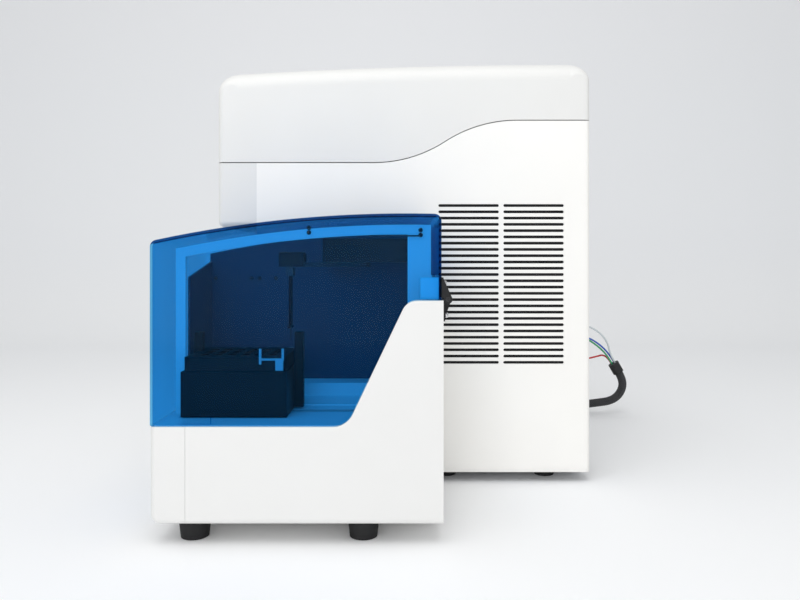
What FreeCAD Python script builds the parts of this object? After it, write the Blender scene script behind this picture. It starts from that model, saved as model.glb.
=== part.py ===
import FreeCAD
import Part
import math
import os

# Bench-top flow cytometer with an automatic sampler beside it.
# Millimetres. +X points to the sampler's side, +Y to the rear, +Z up.
# The origin is on the bench, under the middle of the instrument.

Vec = FreeCAD.Vector

# Driving dimensions of the main unit
MAIN_WIDTH = 520.0
MAIN_DEPTH = 589.0
BODY_WALL = 3.0
LID_WALL = 4.0
FOOT_HEIGHT = 15.0
FOOT_RADIUS = 17.5
FOOT_INSET = 45.0
FOOT_ROWS = (123.0, 363.5, 524.5)
SEAM_LOW = 503.0
SEAM_HIGH = 570.0
SEAM_WAVE_START = 247.0
SEAM_WAVE_END = 473.0
SEAM_GAP = 1.5
CROWN_FRONT = 648.0
CROWN_MIDDLE = 662.0
CROWN_REAR = 665.3
LID_NOSE_RADIUS = 34.0
LID_SIDE_RADIUS = 31.0
LID_TAIL_RADIUS = 32.0
LID_CORNER_RADIUS = 10.0
REAR_EDGE_RADIUS = 8.0
FASCIA_DEPTH = 62.0
FASCIA_BOTTOM = 402.0
FASCIA_EDGE_RADIUS = 9.0
PANEL_RETURN = 15.0
PANEL_GAP = 0.3
VENT_ROWS = 26
VENT_PITCH = 9.91
VENT_TOP = 438.2
VENT_HEIGHT = 4.5
VENT_LENGTH = 95.5
VENT_STARTS = (349.1, 451.7)
FILTER_THICKNESS = 5.0
FILTER_MARGIN = 8.0

# Driving dimensions of the sampler
SAMPLER_WIDTH = 250.0
SAMPLER_LENGTH = 360.0
SAMPLER_GAP = 2.0
SAMPLER_LEAD = 18.5
SHELL_WALL = 3.0
COVER_WALL = 3.0
SAMPLER_FOOT_HEIGHT = 25.0
SAMPLER_FOOT_TOP_RADIUS = 20.5
SAMPLER_FOOT_BASE_RADIUS = 17.5
SAMPLER_FOOT_INSET = 34.0
SAMPLER_FOOT_ROWS = (47.5, 260.8)
COVER_EDGE = 145.6
COVER_GAP = 1.0
SHOULDER_HEIGHT = 299.5
SHOULDER_START = 315.0
SLOPE_START = 241.2
COVER_LENGTH = 358.0
COVER_FRONT_TOP = 373.0
COVER_MIDDLE_TOP = 399.3
COVER_REAR_TOP = 405.0
COVER_CORNER_RADIUS = 9.0
COVER_SIDE_RADIUS = 7.0
SLOPE_LOW_RADIUS = 26.0
SLOPE_HIGH_RADIUS = 20.0
FRONT_PANEL_SETBACK = 1.5
FRONT_PANEL_SEAM = 45.0
FRONT_TOE_RADIUS = 12.0

# Rear connections reach this far behind the rear panel
FITTING_REACH = 16.0

# Clearances
RUNNING_CLEARANCE = 0.06
SLIDE_CLEARANCE = 0.3

# Places that follow from the driving dimensions
total_width = MAIN_WIDTH + SAMPLER_GAP + SAMPLER_WIDTH
total_depth = SAMPLER_LEAD + MAIN_DEPTH + FITTING_REACH
sampler_right = total_width / 2
sampler_left = sampler_right - SAMPLER_WIDTH
main_right = sampler_left - SAMPLER_GAP
main_left = main_right - MAIN_WIDTH
main_middle = (main_left + main_right) / 2
sampler_front = -total_depth / 2
main_front = sampler_front + SAMPLER_LEAD
main_rear = main_front + MAIN_DEPTH
panel_front = main_front + FASCIA_DEPTH
sampler_middle = (sampler_left + sampler_right) / 2

parts = {}


def box(x0, x1, y0, y1, z0, z1):
    """A block between two corners."""
    return Part.makeBox(x1 - x0, y1 - y0, z1 - z0, Vec(x0, y0, z0))


def rod(axis, x, y, z, radius, length):
    """A cylinder that starts at a point and runs along a row axis."""
    return Part.makeCylinder(radius, length, Vec(x, y, z), axis)


ALONG_X = Vec(1, 0, 0)
ALONG_Y = Vec(0, 1, 0)
ALONG_Z = Vec(0, 0, 1)


def tube(axis, x, y, z, outer, inner, length):
    """A hollow cylinder."""
    return rod(axis, x, y, z, outer, length).cut(rod(axis, x, y, z, inner, length))


def join(first, *others):
    """One solid from pieces that touch or overlap."""
    whole = first
    for other in others:
        whole = whole.fuse(other)
    return whole.removeSplitter()


def line(start, end):
    """A straight edge in the side plane, from (y, z) to (y, z)."""
    return Part.LineSegment(Vec(0, *start), Vec(0, *end)).toShape()


def arc(start, middle, end):
    """A round edge in the side plane, through three (y, z) points."""
    return Part.Arc(Vec(0, *start), Vec(0, *middle), Vec(0, *end)).toShape()


def side_prism(edges, x0, x1):
    """The solid that a closed side outline sweeps from x0 to x1."""
    face = Part.Face(Part.Wire(Part.__sortEdges__(edges)))
    face.translate(Vec(x0, 0, 0))
    return face.extrude(Vec(x1 - x0, 0, 0))


def corner_arc(corner, before, after, radius):
    """Where a rounded corner starts and ends, and its middle point."""
    point = Vec(0, *corner)
    back = (Vec(0, *before) - point).normalize()
    ahead = (Vec(0, *after) - point).normalize()
    half = back.getAngle(ahead) / 2
    reach = radius / math.tan(half)
    centre = point + (back + ahead).normalize() * (radius / math.sin(half))
    middle = centre + (point - centre).normalize() * radius
    ends = point + back * reach, point + ahead * reach
    return [(p.y, p.z) for p in (ends[0], middle, ends[1])]


def rounded_line(corners, radii):
    """Edges along the corners, each inner corner rounded by its own radius."""
    edges = []
    here = corners[0]
    for index, radius in enumerate(radii, start=1):
        start, middle, end = corner_arc(corners[index], corners[index - 1], corners[index + 1], radius)
        edges.append(line(here, start))
        edges.append(arc(start, middle, end))
        here = end
    edges.append(line(here, corners[-1]))
    return edges


def circle_through(first, second, third):
    """Centre and radius of the circle through three (y, z) points."""
    circle = arc(first, second, third).Curve
    return circle.Center, circle.Radius


def height_on(circle, y):
    """Height of the upper side of a circle at y."""
    centre, radius = circle
    return centre.z + math.sqrt(radius ** 2 - (y - centre.y) ** 2)


def lies_at(edge, axis, value):
    """True where an edge lies in a plane across a row axis."""
    bounds = edge.BoundBox
    low = getattr(bounds, axis + "Min")
    high = getattr(bounds, axis + "Max")
    return abs(low - value) < 0.01 and abs(high - value) < 0.01


def round_edges(solid, radius, chosen):
    """Rounds the edges that a test picks."""
    return solid.makeFillet(radius, [edge for edge in solid.Edges if chosen(edge)])


def blend_edges(solid, radius_at):
    """Rounds edges with a radius that can change along each edge, from one end's value to the other's."""
    document = FreeCAD.newDocument("blend")
    base = document.addObject("Part::Feature", "Base")
    base.Shape = solid
    fillet = document.addObject("Part::Fillet", "Fillet")
    fillet.Base = base
    rows = []
    for number, edge in enumerate(solid.Edges, 1):
        first = radius_at(edge, edge.valueAt(edge.FirstParameter))
        last = radius_at(edge, edge.valueAt(edge.LastParameter))
        if first is not None and last is not None:
            rows.append((number, first, last))
    fillet.Edges = rows
    document.recompute()
    result = fillet.Shape.Solids[0]
    FreeCAD.closeDocument(document.Name)
    return result


def add(name, solid):
    """Keeps a finished piece under its node name."""
    parts[name] = solid


def many(solids):
    """Alike pieces that share one node."""
    return Part.makeCompound(solids)


# Main unit: shells
def seam_edges(lift):
    """The wavy parting line between body and lid, from front to rear."""
    low = SEAM_LOW + lift
    high = SEAM_HIGH + lift
    start = main_front + SEAM_WAVE_START
    end = main_front + SEAM_WAVE_END
    half_run = (end - start) / 2
    half_rise = (high - low) / 2
    radius = (half_run ** 2 + half_rise ** 2) / (2 * half_rise)
    middle = (start + half_run, low + half_rise)
    quarter = half_run / 2
    sag = radius - math.sqrt(radius ** 2 - quarter ** 2)
    reach = 1.0
    return [
        line((main_front - reach, low), (start, low)),
        arc((start, low), (start + quarter, low + sag), middle),
        arc(middle, (end - quarter, high - sag), (end, high)),
        line((end, high), (main_rear + reach, high)),
    ]


def above_seam(lift, x0, x1):
    """Everything over the parting line."""
    ceiling = CROWN_REAR + 50.0
    edges = seam_edges(lift)
    front = (main_front - 1.0, SEAM_LOW + lift)
    rear = (main_rear + 1.0, SEAM_HIGH + lift)
    edges.append(line(rear, (rear[0], ceiling)))
    edges.append(line((rear[0], ceiling), (front[0], ceiling)))
    edges.append(line((front[0], ceiling), front))
    return side_prism(edges, x0, x1)


def lid_form(inset):
    """The lid's rounded block, or the hollow inside it."""
    front = main_front + inset
    rear = main_rear - inset
    crown = circle_through(
        (main_front, CROWN_FRONT - inset),
        (main_front + MAIN_DEPTH / 2, CROWN_MIDDLE - inset),
        (main_rear, CROWN_REAR - inset),
    )
    middle = (front + rear) / 2
    floor = SEAM_LOW - 20.0
    top_front = (front, height_on(crown, front))
    top_rear = (rear, height_on(crown, rear))
    edges = [
        line((front, floor), top_front),
        arc(top_front, (middle, height_on(crown, middle)), top_rear),
        line(top_rear, (rear, floor)),
        line((rear, floor), (front, floor)),
    ]
    left = main_left + inset
    right = main_right - inset
    form = side_prism(edges, left, right)
    nose = LID_NOSE_RADIUS - inset
    form = round_edges(form, nose, lambda e: lies_at(e, "Y", front) and lies_at(e, "Z", top_front[1]))
    tail = LID_TAIL_RADIUS - inset
    form = round_edges(form, tail, lambda e: lies_at(e, "Y", rear) and lies_at(e, "Z", top_rear[1]))

    def side_radius(edge, end):
        at_side = lies_at(edge, "X", left) or lies_at(edge, "X", right)
        if not at_side or lies_at(edge, "Z", floor):
            return None
        if abs(end.y - front) < 0.01:
            return LID_CORNER_RADIUS - inset
        if abs(end.y - rear) < 0.01:
            return REAR_EDGE_RADIUS - inset
        return LID_SIDE_RADIUS - inset

    return blend_edges(form, side_radius)


def make_lid():
    """A moulded shell, open below, that follows the parting line."""
    shell = lid_form(0.0).common(above_seam(SEAM_GAP, main_left - 1, main_right + 1))
    shell = shell.cut(lid_form(LID_WALL))
    rib_width = 3.0
    rib_depth = 14.0
    spacing = MAIN_WIDTH / 4
    hollow = lid_form(LID_WALL)
    under_top = CROWN_FRONT - LID_WALL - rib_depth
    for step in (-1, 0, 1):
        centre = main_middle + step * spacing
        rib = box(
            centre - rib_width / 2, centre + rib_width / 2,
            main_front + FASCIA_DEPTH, main_rear - FASCIA_DEPTH, under_top, CROWN_REAR,
        )
        shell = shell.fuse(rib.common(hollow))
    return shell.removeSplitter()


def body_ring():
    """The standing walls of the body: both sides and the rear, up to the parting line."""
    top = SEAM_HIGH + 10.0
    outer = box(main_left, main_right, panel_front, main_rear, FOOT_HEIGHT, top)

    def is_rear_corner(edge):
        at_side = lies_at(edge, "X", main_left) or lies_at(edge, "X", main_right)
        return at_side and lies_at(edge, "Y", main_rear)

    outer = round_edges(outer, REAR_EDGE_RADIUS, is_rear_corner)
    inner = box(
        main_left + BODY_WALL, main_right - BODY_WALL,
        panel_front - 1, main_rear - BODY_WALL, FOOT_HEIGHT - 1, top + 1,
    )

    def is_inner_corner(edge):
        return lies_at(edge, "Y", main_rear - BODY_WALL) and not (
            lies_at(edge, "Z", FOOT_HEIGHT - 1) or lies_at(edge, "Z", top + 1)
        )

    inner = round_edges(inner, REAR_EDGE_RADIUS - BODY_WALL, is_inner_corner)
    return outer.cut(inner).cut(above_seam(0.0, main_left - 1, main_right + 1))


def slot(y0, z, x0, x1):
    """One cooling slot with round ends, cut across a side panel."""
    radius = VENT_HEIGHT / 2
    left = y0 + radius
    right = y0 + VENT_LENGTH - radius
    edges = [
        line((left, z + radius), (right, z + radius)),
        arc((right, z + radius), (right + radius, z), (right, z - radius)),
        line((right, z - radius), (left, z - radius)),
        arc((left, z - radius), (left - radius, z), (left, z + radius)),
    ]
    return side_prism(edges, x0, x1)


def make_side_panels(ring):
    """Right panel with cooling slots and plain left panel, each with a rear return."""
    height = SEAM_HIGH + 20.0
    y0 = panel_front - 1
    y1 = main_rear + 1
    right = ring.common(box(main_right - PANEL_RETURN, main_right + 1, y0, y1, 0, height))
    left = ring.common(box(main_left - 1, main_left + PANEL_RETURN, y0, y1, 0, height))
    slots = []
    for start in VENT_STARTS:
        for row in range(VENT_ROWS):
            z = VENT_TOP - VENT_HEIGHT / 2 - row * VENT_PITCH
            slots.append(slot(main_front + start, z, main_right - BODY_WALL - 1, main_right + 1))
    add("side_panel_right", right.cut(many(slots)))
    add("side_panel_left", left)


def make_vent_filter():
    """The black dust filter in its frame, behind the cooling slots."""
    x1 = main_right - BODY_WALL
    y0 = main_front + VENT_STARTS[0] - FILTER_MARGIN
    y1 = main_front + VENT_STARTS[1] + VENT_LENGTH + FILTER_MARGIN
    z1 = VENT_TOP + FILTER_MARGIN
    z0 = VENT_TOP - VENT_HEIGHT - (VENT_ROWS - 1) * VENT_PITCH - FILTER_MARGIN
    add("vent_filter", box(x1 - FILTER_THICKNESS, x1, y0, y1, z0, z1))


def make_fascia():
    """The overhanging front shell, open to the rear and the top."""
    outer = box(main_left, main_right, main_front, panel_front, FASCIA_BOTTOM, SEAM_LOW)

    def is_front_corner(edge):
        at_side = lies_at(edge, "X", main_left) or lies_at(edge, "X", main_right)
        return at_side and lies_at(edge, "Y", main_front)

    outer = round_edges(outer, LID_CORNER_RADIUS, is_front_corner)
    outer = round_edges(
        outer, FASCIA_EDGE_RADIUS,
        lambda e: lies_at(e, "Z", FASCIA_BOTTOM) and not lies_at(e, "Y", panel_front),
    )
    inner = box(
        main_left + BODY_WALL, main_right - BODY_WALL,
        main_front + BODY_WALL, panel_front + 1, FASCIA_BOTTOM + BODY_WALL, SEAM_LOW + 1,
    )

    def is_inner_corner(edge):
        at_side = lies_at(edge, "X", main_left + BODY_WALL) or lies_at(edge, "X", main_right - BODY_WALL)
        return at_side and lies_at(edge, "Y", main_front + BODY_WALL)

    inner = round_edges(inner, LID_CORNER_RADIUS - BODY_WALL, is_inner_corner)
    return outer.cut(inner)


# Main unit: inside sheet metal and rear
SHEET = 2.0
TRAY_LIP = 30.0
SHELF_TOP = 440.0
SHELF_THICKNESS = 3.0
SHELF_MARGIN = 12.0
POST_WIDTH = 25.0
FAN_SIZE = 119.0
FAN_DEPTH = 25.0
FAN_BORE_RADIUS = 56.0
FAN_FROM_RIGHT = 150.0
FAN_HEIGHT = 330.0
FAN_BLADES = 7
FAN_HUB_RADIUS = 20.0
FAN_SHAFT_RADIUS = 2.0
INLET_FROM_RIGHT = 60.0
INLET_HEIGHT = 60.0
INLET_WIDTH = 28.0
INLET_TALL = 48.0
FITTING_RADIUS = 5.0
TUBE_RADIUS = 2.0
FITTINGS = {"blue": (30.0, 196.0), "green": (49.0, 194.0), "red": (36.0, 128.0), "clear": (56.0, 216.0)}

inside_left = main_left + BODY_WALL
inside_right = main_right - BODY_WALL
inside_rear = main_rear - BODY_WALL
tray_top = FOOT_HEIGHT + SHEET
fan_x = main_right - FAN_FROM_RIGHT
inlet_x = main_right - INLET_FROM_RIGHT


def make_feet():
    """Round rubber feet in rows under both sides of the main unit and of the sampler."""
    feet = []
    for x in (main_left + FOOT_INSET, main_right - FOOT_INSET):
        for row in FOOT_ROWS:
            base_radius = FOOT_RADIUS - 1.5
            place = Vec(x, main_front + row, 0)
            feet.append(Part.makeCone(base_radius, FOOT_RADIUS, FOOT_HEIGHT, place, ALONG_Z))
    for x in (sampler_left + SAMPLER_FOOT_INSET, sampler_right - SAMPLER_FOOT_INSET):
        for row in SAMPLER_FOOT_ROWS:
            place = Vec(x, sampler_front + row, 0)
            feet.append(Part.makeCone(
                SAMPLER_FOOT_BASE_RADIUS, SAMPLER_FOOT_TOP_RADIUS, SAMPLER_FOOT_HEIGHT, place, ALONG_Z,
            ))
    add("rubber_feet", many(feet))


def make_base_tray():
    """Folded sheet tray that carries the feet below and the works above."""
    gap = PANEL_GAP
    x0 = inside_left + gap
    x1 = inside_right - gap
    y0 = panel_front + BODY_WALL + gap
    y1 = inside_rear - gap
    tray = box(x0, x1, y0, y1, FOOT_HEIGHT, FOOT_HEIGHT + TRAY_LIP)
    corner = REAR_EDGE_RADIUS - BODY_WALL

    def is_rear_corner(edge):
        return lies_at(edge, "Y", y1) and (lies_at(edge, "X", x0) or lies_at(edge, "X", x1))

    tray = round_edges(tray, corner, is_rear_corner)
    hollow = box(x0 + SHEET, x1 - SHEET, y0 + SHEET, y1 - SHEET, tray_top, FOOT_HEIGHT + TRAY_LIP + 1)
    tray = tray.cut(hollow)
    notch = box(
        inlet_x - INLET_WIDTH / 2 - 3, inlet_x + INLET_WIDTH / 2 + 3,
        y1 - SHEET - 1, y1 + 1, INLET_HEIGHT - INLET_TALL / 2 - 3, FOOT_HEIGHT + TRAY_LIP + 1,
    )
    add("base_tray", tray.cut(notch))


def fitting_place(colour):
    """Where a fluid connection passes the rear panel, as (x, z)."""
    from_left, height = FITTINGS[colour]
    return main_left + from_left, height


def make_rear_panel(ring):
    """Rear plate between the side returns, cut out for fan, inlet and fluid fittings."""
    gap = PANEL_GAP
    plate = ring.common(box(
        main_left + PANEL_RETURN + gap, main_right - PANEL_RETURN - gap,
        inside_rear, main_rear + 1, 0, SEAM_HIGH + 20,
    ))
    cuts = [rod(ALONG_Y, fan_x, inside_rear - 1, FAN_HEIGHT, FAN_BORE_RADIUS, BODY_WALL + 2)]
    cuts.append(box(
        inlet_x - INLET_WIDTH / 2, inlet_x + INLET_WIDTH / 2, inside_rear - 1, main_rear + 1,
        INLET_HEIGHT - INLET_TALL / 2, INLET_HEIGHT + INLET_TALL / 2,
    ))
    for colour in FITTINGS:
        x, z = fitting_place(colour)
        cuts.append(rod(ALONG_Y, x, inside_rear - 1, z, FITTING_RADIUS, BODY_WALL + 2))
    add("rear_panel", plate.cut(many(cuts)))


def make_fittings():
    """Bulkhead tube fittings, with a hexagon outside and a nut inside the rear panel."""
    fittings = []
    flange = 3.0
    nut = 5.0
    hexagon_radius = 8.0
    for colour in FITTINGS:
        x, z = fitting_place(colour)
        shank = rod(ALONG_Y, x, inside_rear - nut - 4, z, FITTING_RADIUS - 0.2, BODY_WALL + nut + 4)
        head = Part.Face(Part.makePolygon([
            Vec(x + hexagon_radius * math.cos(math.radians(60 * k)), main_rear,
                z + hexagon_radius * math.sin(math.radians(60 * k)))
            for k in range(7)
        ])).extrude(Vec(0, flange, 0))
        inner_nut = rod(ALONG_Y, x, inside_rear - nut, z, hexagon_radius, nut)
        barb = rod(ALONG_Y, x, main_rear + flange, z, TUBE_RADIUS + 1.5, FITTING_REACH - flange)
        fittings.append(join(head, shank, inner_nut, barb))
    add("bulkhead_fittings", many(fittings))


def make_lower_front():
    """Lower front plate under the overhanging fascia, with a recessed hand grip."""
    gap = PANEL_GAP
    plate = box(
        inside_left + gap, inside_right - gap, panel_front, panel_front + BODY_WALL,
        FOOT_HEIGHT, FASCIA_BOTTOM + BODY_WALL,
    )
    pitch = 12.0
    slots = []
    for row in range(5):
        z = 60.0 + row * pitch
        slots.append(box(main_middle - 60, main_middle + 60, panel_front - 1, panel_front + 4, z, z + 4))
    add("lower_front_panel", plate.cut(many(slots)))


def make_inner_frame():
    """Shelf on four separate angle posts that stand on the tray."""
    x0 = inside_left + SHELF_MARGIN
    x1 = inside_right - SHELF_MARGIN
    y0 = panel_front + BODY_WALL + SHELF_MARGIN
    y1 = inside_rear - FAN_DEPTH - SHELF_MARGIN
    under = SHELF_TOP - SHELF_THICKNESS
    shelf = box(x0, x1, y0, y1, under, SHELF_TOP)
    opening = box(x0 + 150, x0 + 210, y0 + 60, y0 + 140, under - 1, SHELF_TOP + 1)
    frame = [shelf.cut(opening)]
    for x, toward_x in ((x0, 1), (x1, -1)):
        for y, toward_y in ((y0, 1), (y1, -1)):
            outer = box(min(x, x + toward_x * POST_WIDTH), max(x, x + toward_x * POST_WIDTH),
                        min(y, y + toward_y * POST_WIDTH), max(y, y + toward_y * POST_WIDTH), tray_top, under)
            cut_x = (x + toward_x * SHEET, x + toward_x * (POST_WIDTH + 1))
            cut_y = (y + toward_y * SHEET, y + toward_y * (POST_WIDTH + 1))
            frame.append(outer.cut(box(min(cut_x), max(cut_x), min(cut_y), max(cut_y), tray_top, under)))
    add("inner_frame", many(frame))


def make_fan():
    """Axial fan on the rear panel: frame with struts, rotor on its shaft, punched guard outside."""
    half = FAN_SIZE / 2
    y0 = inside_rear - FAN_DEPTH
    motor_depth = 6.0
    motor_radius = FAN_HUB_RADIUS - 1
    frame = box(fan_x - half, fan_x + half, y0, inside_rear, FAN_HEIGHT - half, FAN_HEIGHT + half)
    frame = round_edges(frame, 6.0, lambda e: abs(e.BoundBox.YLength - FAN_DEPTH) < 0.01)
    frame = frame.cut(rod(ALONG_Y, fan_x, y0 - 1, FAN_HEIGHT, FAN_BORE_RADIUS, FAN_DEPTH + 2))
    motor = rod(ALONG_Y, fan_x, y0, FAN_HEIGHT, motor_radius, motor_depth)
    reach = FAN_BORE_RADIUS + 1
    strut_width = 4.0
    for turn in range(4):
        strut = box(fan_x, fan_x + reach, y0, y0 + strut_width,
                    FAN_HEIGHT - strut_width / 2, FAN_HEIGHT + strut_width / 2)
        strut.rotate(Vec(fan_x, 0, FAN_HEIGHT), ALONG_Y, 45 + 90 * turn)
        motor = motor.fuse(strut)
    bearing = rod(ALONG_Y, fan_x, y0 - 1, FAN_HEIGHT, FAN_SHAFT_RADIUS + RUNNING_CLEARANCE, motor_depth + 2)
    add("fan_frame", frame.fuse(motor).cut(bearing).removeSplitter())
    hub_start = y0 + motor_depth + SLIDE_CLEARANCE
    hub_length = 14.0
    rotor = rod(ALONG_Y, fan_x, hub_start, FAN_HEIGHT, FAN_HUB_RADIUS, hub_length)
    rotor = rotor.fuse(rod(ALONG_Y, fan_x, y0 + 0.5, FAN_HEIGHT, FAN_SHAFT_RADIUS, hub_start - y0))
    blade_tip = FAN_BORE_RADIUS - 1.5
    for turn in range(FAN_BLADES):
        blade = box(fan_x + FAN_HUB_RADIUS - 2, fan_x + blade_tip, hub_start + 6, hub_start + 7.6,
                    FAN_HEIGHT - 10, FAN_HEIGHT + 10)
        blade.rotate(Vec(fan_x, hub_start + 6.8, FAN_HEIGHT), ALONG_X, 32)
        blade.rotate(Vec(fan_x, 0, FAN_HEIGHT), ALONG_Y, turn * 360 / FAN_BLADES)
        rotor = rotor.fuse(blade)
    rotor = rotor.common(rod(ALONG_Y, fan_x, y0, FAN_HEIGHT, blade_tip, FAN_DEPTH))
    add("fan_rotor", rotor.removeSplitter())
    guard_thickness = 1.6
    ring_width = 2.6
    guard = None
    for radius in (16.0, 30.0, 44.0, 58.0):
        ring = tube(ALONG_Y, fan_x, main_rear, FAN_HEIGHT, radius + ring_width, radius, guard_thickness)
        guard = ring if guard is None else guard.fuse(ring)
    for turn in range(4):
        spoke = box(fan_x + 16, fan_x + 76, main_rear, main_rear + guard_thickness,
                    FAN_HEIGHT - 2, FAN_HEIGHT + 2)
        spoke.rotate(Vec(fan_x, 0, FAN_HEIGHT), ALONG_Y, 45 + 90 * turn)
        guard = guard.fuse(spoke)
    add("fan_guard", guard.removeSplitter())


def make_inlet():
    """Mains inlet with its socket below and a rocker switch above, set in the rear panel."""
    half = INLET_WIDTH / 2
    low = INLET_HEIGHT - INLET_TALL / 2
    high = INLET_HEIGHT + INLET_TALL / 2
    flange = 3.0
    body_depth = 28.0
    body = box(inlet_x - half + 0.2, inlet_x + half - 0.2, inside_rear - body_depth,
               main_rear, low + 0.2, high - 0.2)
    face = box(inlet_x - half - 3, inlet_x + half + 3, main_rear, main_rear + flange, low - 3, high + 3)
    face = round_edges(face, 2.5, lambda e: abs(e.BoundBox.YLength - flange) < 0.01)
    socket = box(inlet_x - 12, inlet_x + 12, main_rear - 16, main_rear + flange + 1, low + 3, low + 20)
    socket_core = box(inlet_x - 8, inlet_x + 8, main_rear - 16, main_rear, low + 7, low + 16)
    switch_low = low + 25
    switch_high = high - 3
    switch_bay = box(inlet_x - 10, inlet_x + 10, main_rear - 8, main_rear + flange + 1, switch_low, switch_high)
    pivot_y = main_rear + 0.5
    pivot_z = (switch_low + switch_high) / 2
    pin_radius = 1.5
    pin_hole = rod(ALONG_X, inlet_x - 13, pivot_y, pivot_z, pin_radius + RUNNING_CLEARANCE, 26)
    inlet = body.fuse(face).cut(socket).cut(switch_bay).cut(pin_hole).fuse(socket_core).removeSplitter()
    add("mains_inlet", inlet)
    rocker_half = (switch_high - switch_low) / 2 - 1.4
    tip = main_rear + flange + 2.5
    edges = [
        line((pivot_y - 3, pivot_z - rocker_half + 3), (pivot_y - 3, pivot_z + rocker_half - 3)),
        line((pivot_y - 3, pivot_z + rocker_half - 3), (tip - 4, pivot_z + rocker_half)),
        arc((tip - 4, pivot_z + rocker_half), (tip - 3.6, pivot_z), (tip, pivot_z - rocker_half)),
        line((tip, pivot_z - rocker_half), (pivot_y - 3, pivot_z - rocker_half + 3)),
    ]
    rocker = side_prism(edges, inlet_x - 9.5, inlet_x + 9.5)
    pin = rod(ALONG_X, inlet_x - 12.8, pivot_y, pivot_z, pin_radius, 25.6)
    add("power_rocker", rocker.fuse(pin).removeSplitter())
    return pivot_y, pivot_z


# Main unit: optics on the bench
BENCH_THICKNESS = 12.0
BENCH_LENGTH = 400.0
BENCH_WIDTH = 400.0
BENCH_FROM_FRONT = 98.0
MOUNT_HEIGHT = 14.0
MOUNT_RADIUS = 12.0
LASER_COUNT = 3
LASER_PITCH = 62.0
LASER_LENGTH = 120.0
LASER_SIZE = 36.0
BEAM_HEIGHT = 34.0
BARREL_LENGTH = 34.0
FILTER_BLOCK_RADIUS = 48.0
FILTER_BLOCK_GAP = 5.0
DETECTOR_COUNT = 6

mount_base = SHELF_TOP
bench_bottom = mount_base + MOUNT_HEIGHT
bench_top = bench_bottom + BENCH_THICKNESS
bench_left = main_middle - BENCH_WIDTH / 2
bench_right = main_middle + BENCH_WIDTH / 2
bench_front = main_front + BENCH_FROM_FRONT
bench_rear = bench_front + BENCH_LENGTH
beam_z = bench_top + BEAM_HEIGHT
first_laser_x = bench_left + 45.0
laser_front = bench_front + 30.0
beam_y = laser_front + LASER_LENGTH + 45.0
cell_x = bench_right - 95.0
barrel_start = beam_y + 26.0


def make_bench():
    """Thick aluminium plate on rubber mounts, with pockets milled from above."""
    plate = box(bench_left, bench_right, bench_front, bench_rear, bench_bottom, bench_top)
    plate = round_edges(plate, 12.0, lambda e: abs(e.BoundBox.ZLength - BENCH_THICKNESS) < 0.01)
    pocket = box(bench_left + 30, bench_left + 150, bench_rear - 110, bench_rear - 30, bench_top - 6, bench_top + 1)
    pocket = round_edges(pocket, 8.0, lambda e: abs(e.BoundBox.ZLength - 7) < 0.01)
    add("optical_bench", plate.cut(pocket))
    mounts = []
    for x in (bench_left + 30, bench_right - 30):
        for y in (bench_front + 30, bench_rear - 30):
            mounts.append(rod(ALONG_Z, x, y, mount_base, MOUNT_RADIUS, MOUNT_HEIGHT))
    add("bench_mounts", many(mounts))


def make_lasers():
    """Laser heads side by side, each with cooling fins along its top and a round nose."""
    heads = []
    half = LASER_SIZE / 2
    fin = 2.5
    for index in range(LASER_COUNT):
        x = first_laser_x + index * LASER_PITCH
        head = box(x - half, x + half, laser_front, laser_front + LASER_LENGTH, bench_top, beam_z + half)
        grooves = []
        for step in range(5):
            groove_x = x - half + 4 + step * 2.5 * fin
            grooves.append(box(groove_x, groove_x + fin, laser_front - 1, laser_front + LASER_LENGTH - 15,
                               beam_z + 8, beam_z + half + 1))
        head = head.cut(many(grooves))
        nose = rod(ALONG_Y, x, laser_front + LASER_LENGTH, beam_z, 9.0, 8.0)
        heads.append(head.fuse(nose).removeSplitter())
    add("laser_modules", many(heads))


def make_optics():
    """Tilted mirrors that join the beams, the focusing lens and the collection lens."""
    pieces = []
    for index in range(LASER_COUNT):
        x = first_laser_x + index * LASER_PITCH
        foot = box(x - 14, x + 14, beam_y - 14, beam_y + 14, bench_top, bench_top + 8)
        post = rod(ALONG_Z, x, beam_y, bench_top + 8, 5.0, BEAM_HEIGHT - 8 - 10)
        holder = rod(ALONG_Y, x, beam_y - 4, beam_z, 14.0, 8.0)
        face = rod(ALONG_Y, x, beam_y - 5, beam_z, 11.0, 3.0)
        holder = holder.cut(face)
        holder.rotate(Vec(x, beam_y, beam_z), ALONG_Z, 45)
        pieces.append(join(foot, post, holder))
    lens_x = cell_x - 62
    lens_foot = box(lens_x - 12, lens_x + 12, beam_y - 14, beam_y + 14, bench_top, beam_z - 10)
    lens = tube(ALONG_X, lens_x - 14, beam_y, beam_z, 13.0, 8.0, 28.0)
    pieces.append(join(lens_foot, lens).cut(rod(ALONG_X, lens_x - 15, beam_y, beam_z, 8.0, 30.0)))
    barrel = tube(ALONG_Y, cell_x, barrel_start, beam_z, 20.0, 14.0, BARREL_LENGTH)
    cradle = box(cell_x - 16, cell_x + 16, barrel_start + 6, barrel_start + 28, bench_top, beam_z)
    pieces.append(cradle.fuse(barrel).cut(rod(ALONG_Y, cell_x, barrel_start - 1, beam_z, 14.0, BARREL_LENGTH + 2)))
    add("optics_mounts", many(pieces))


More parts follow.
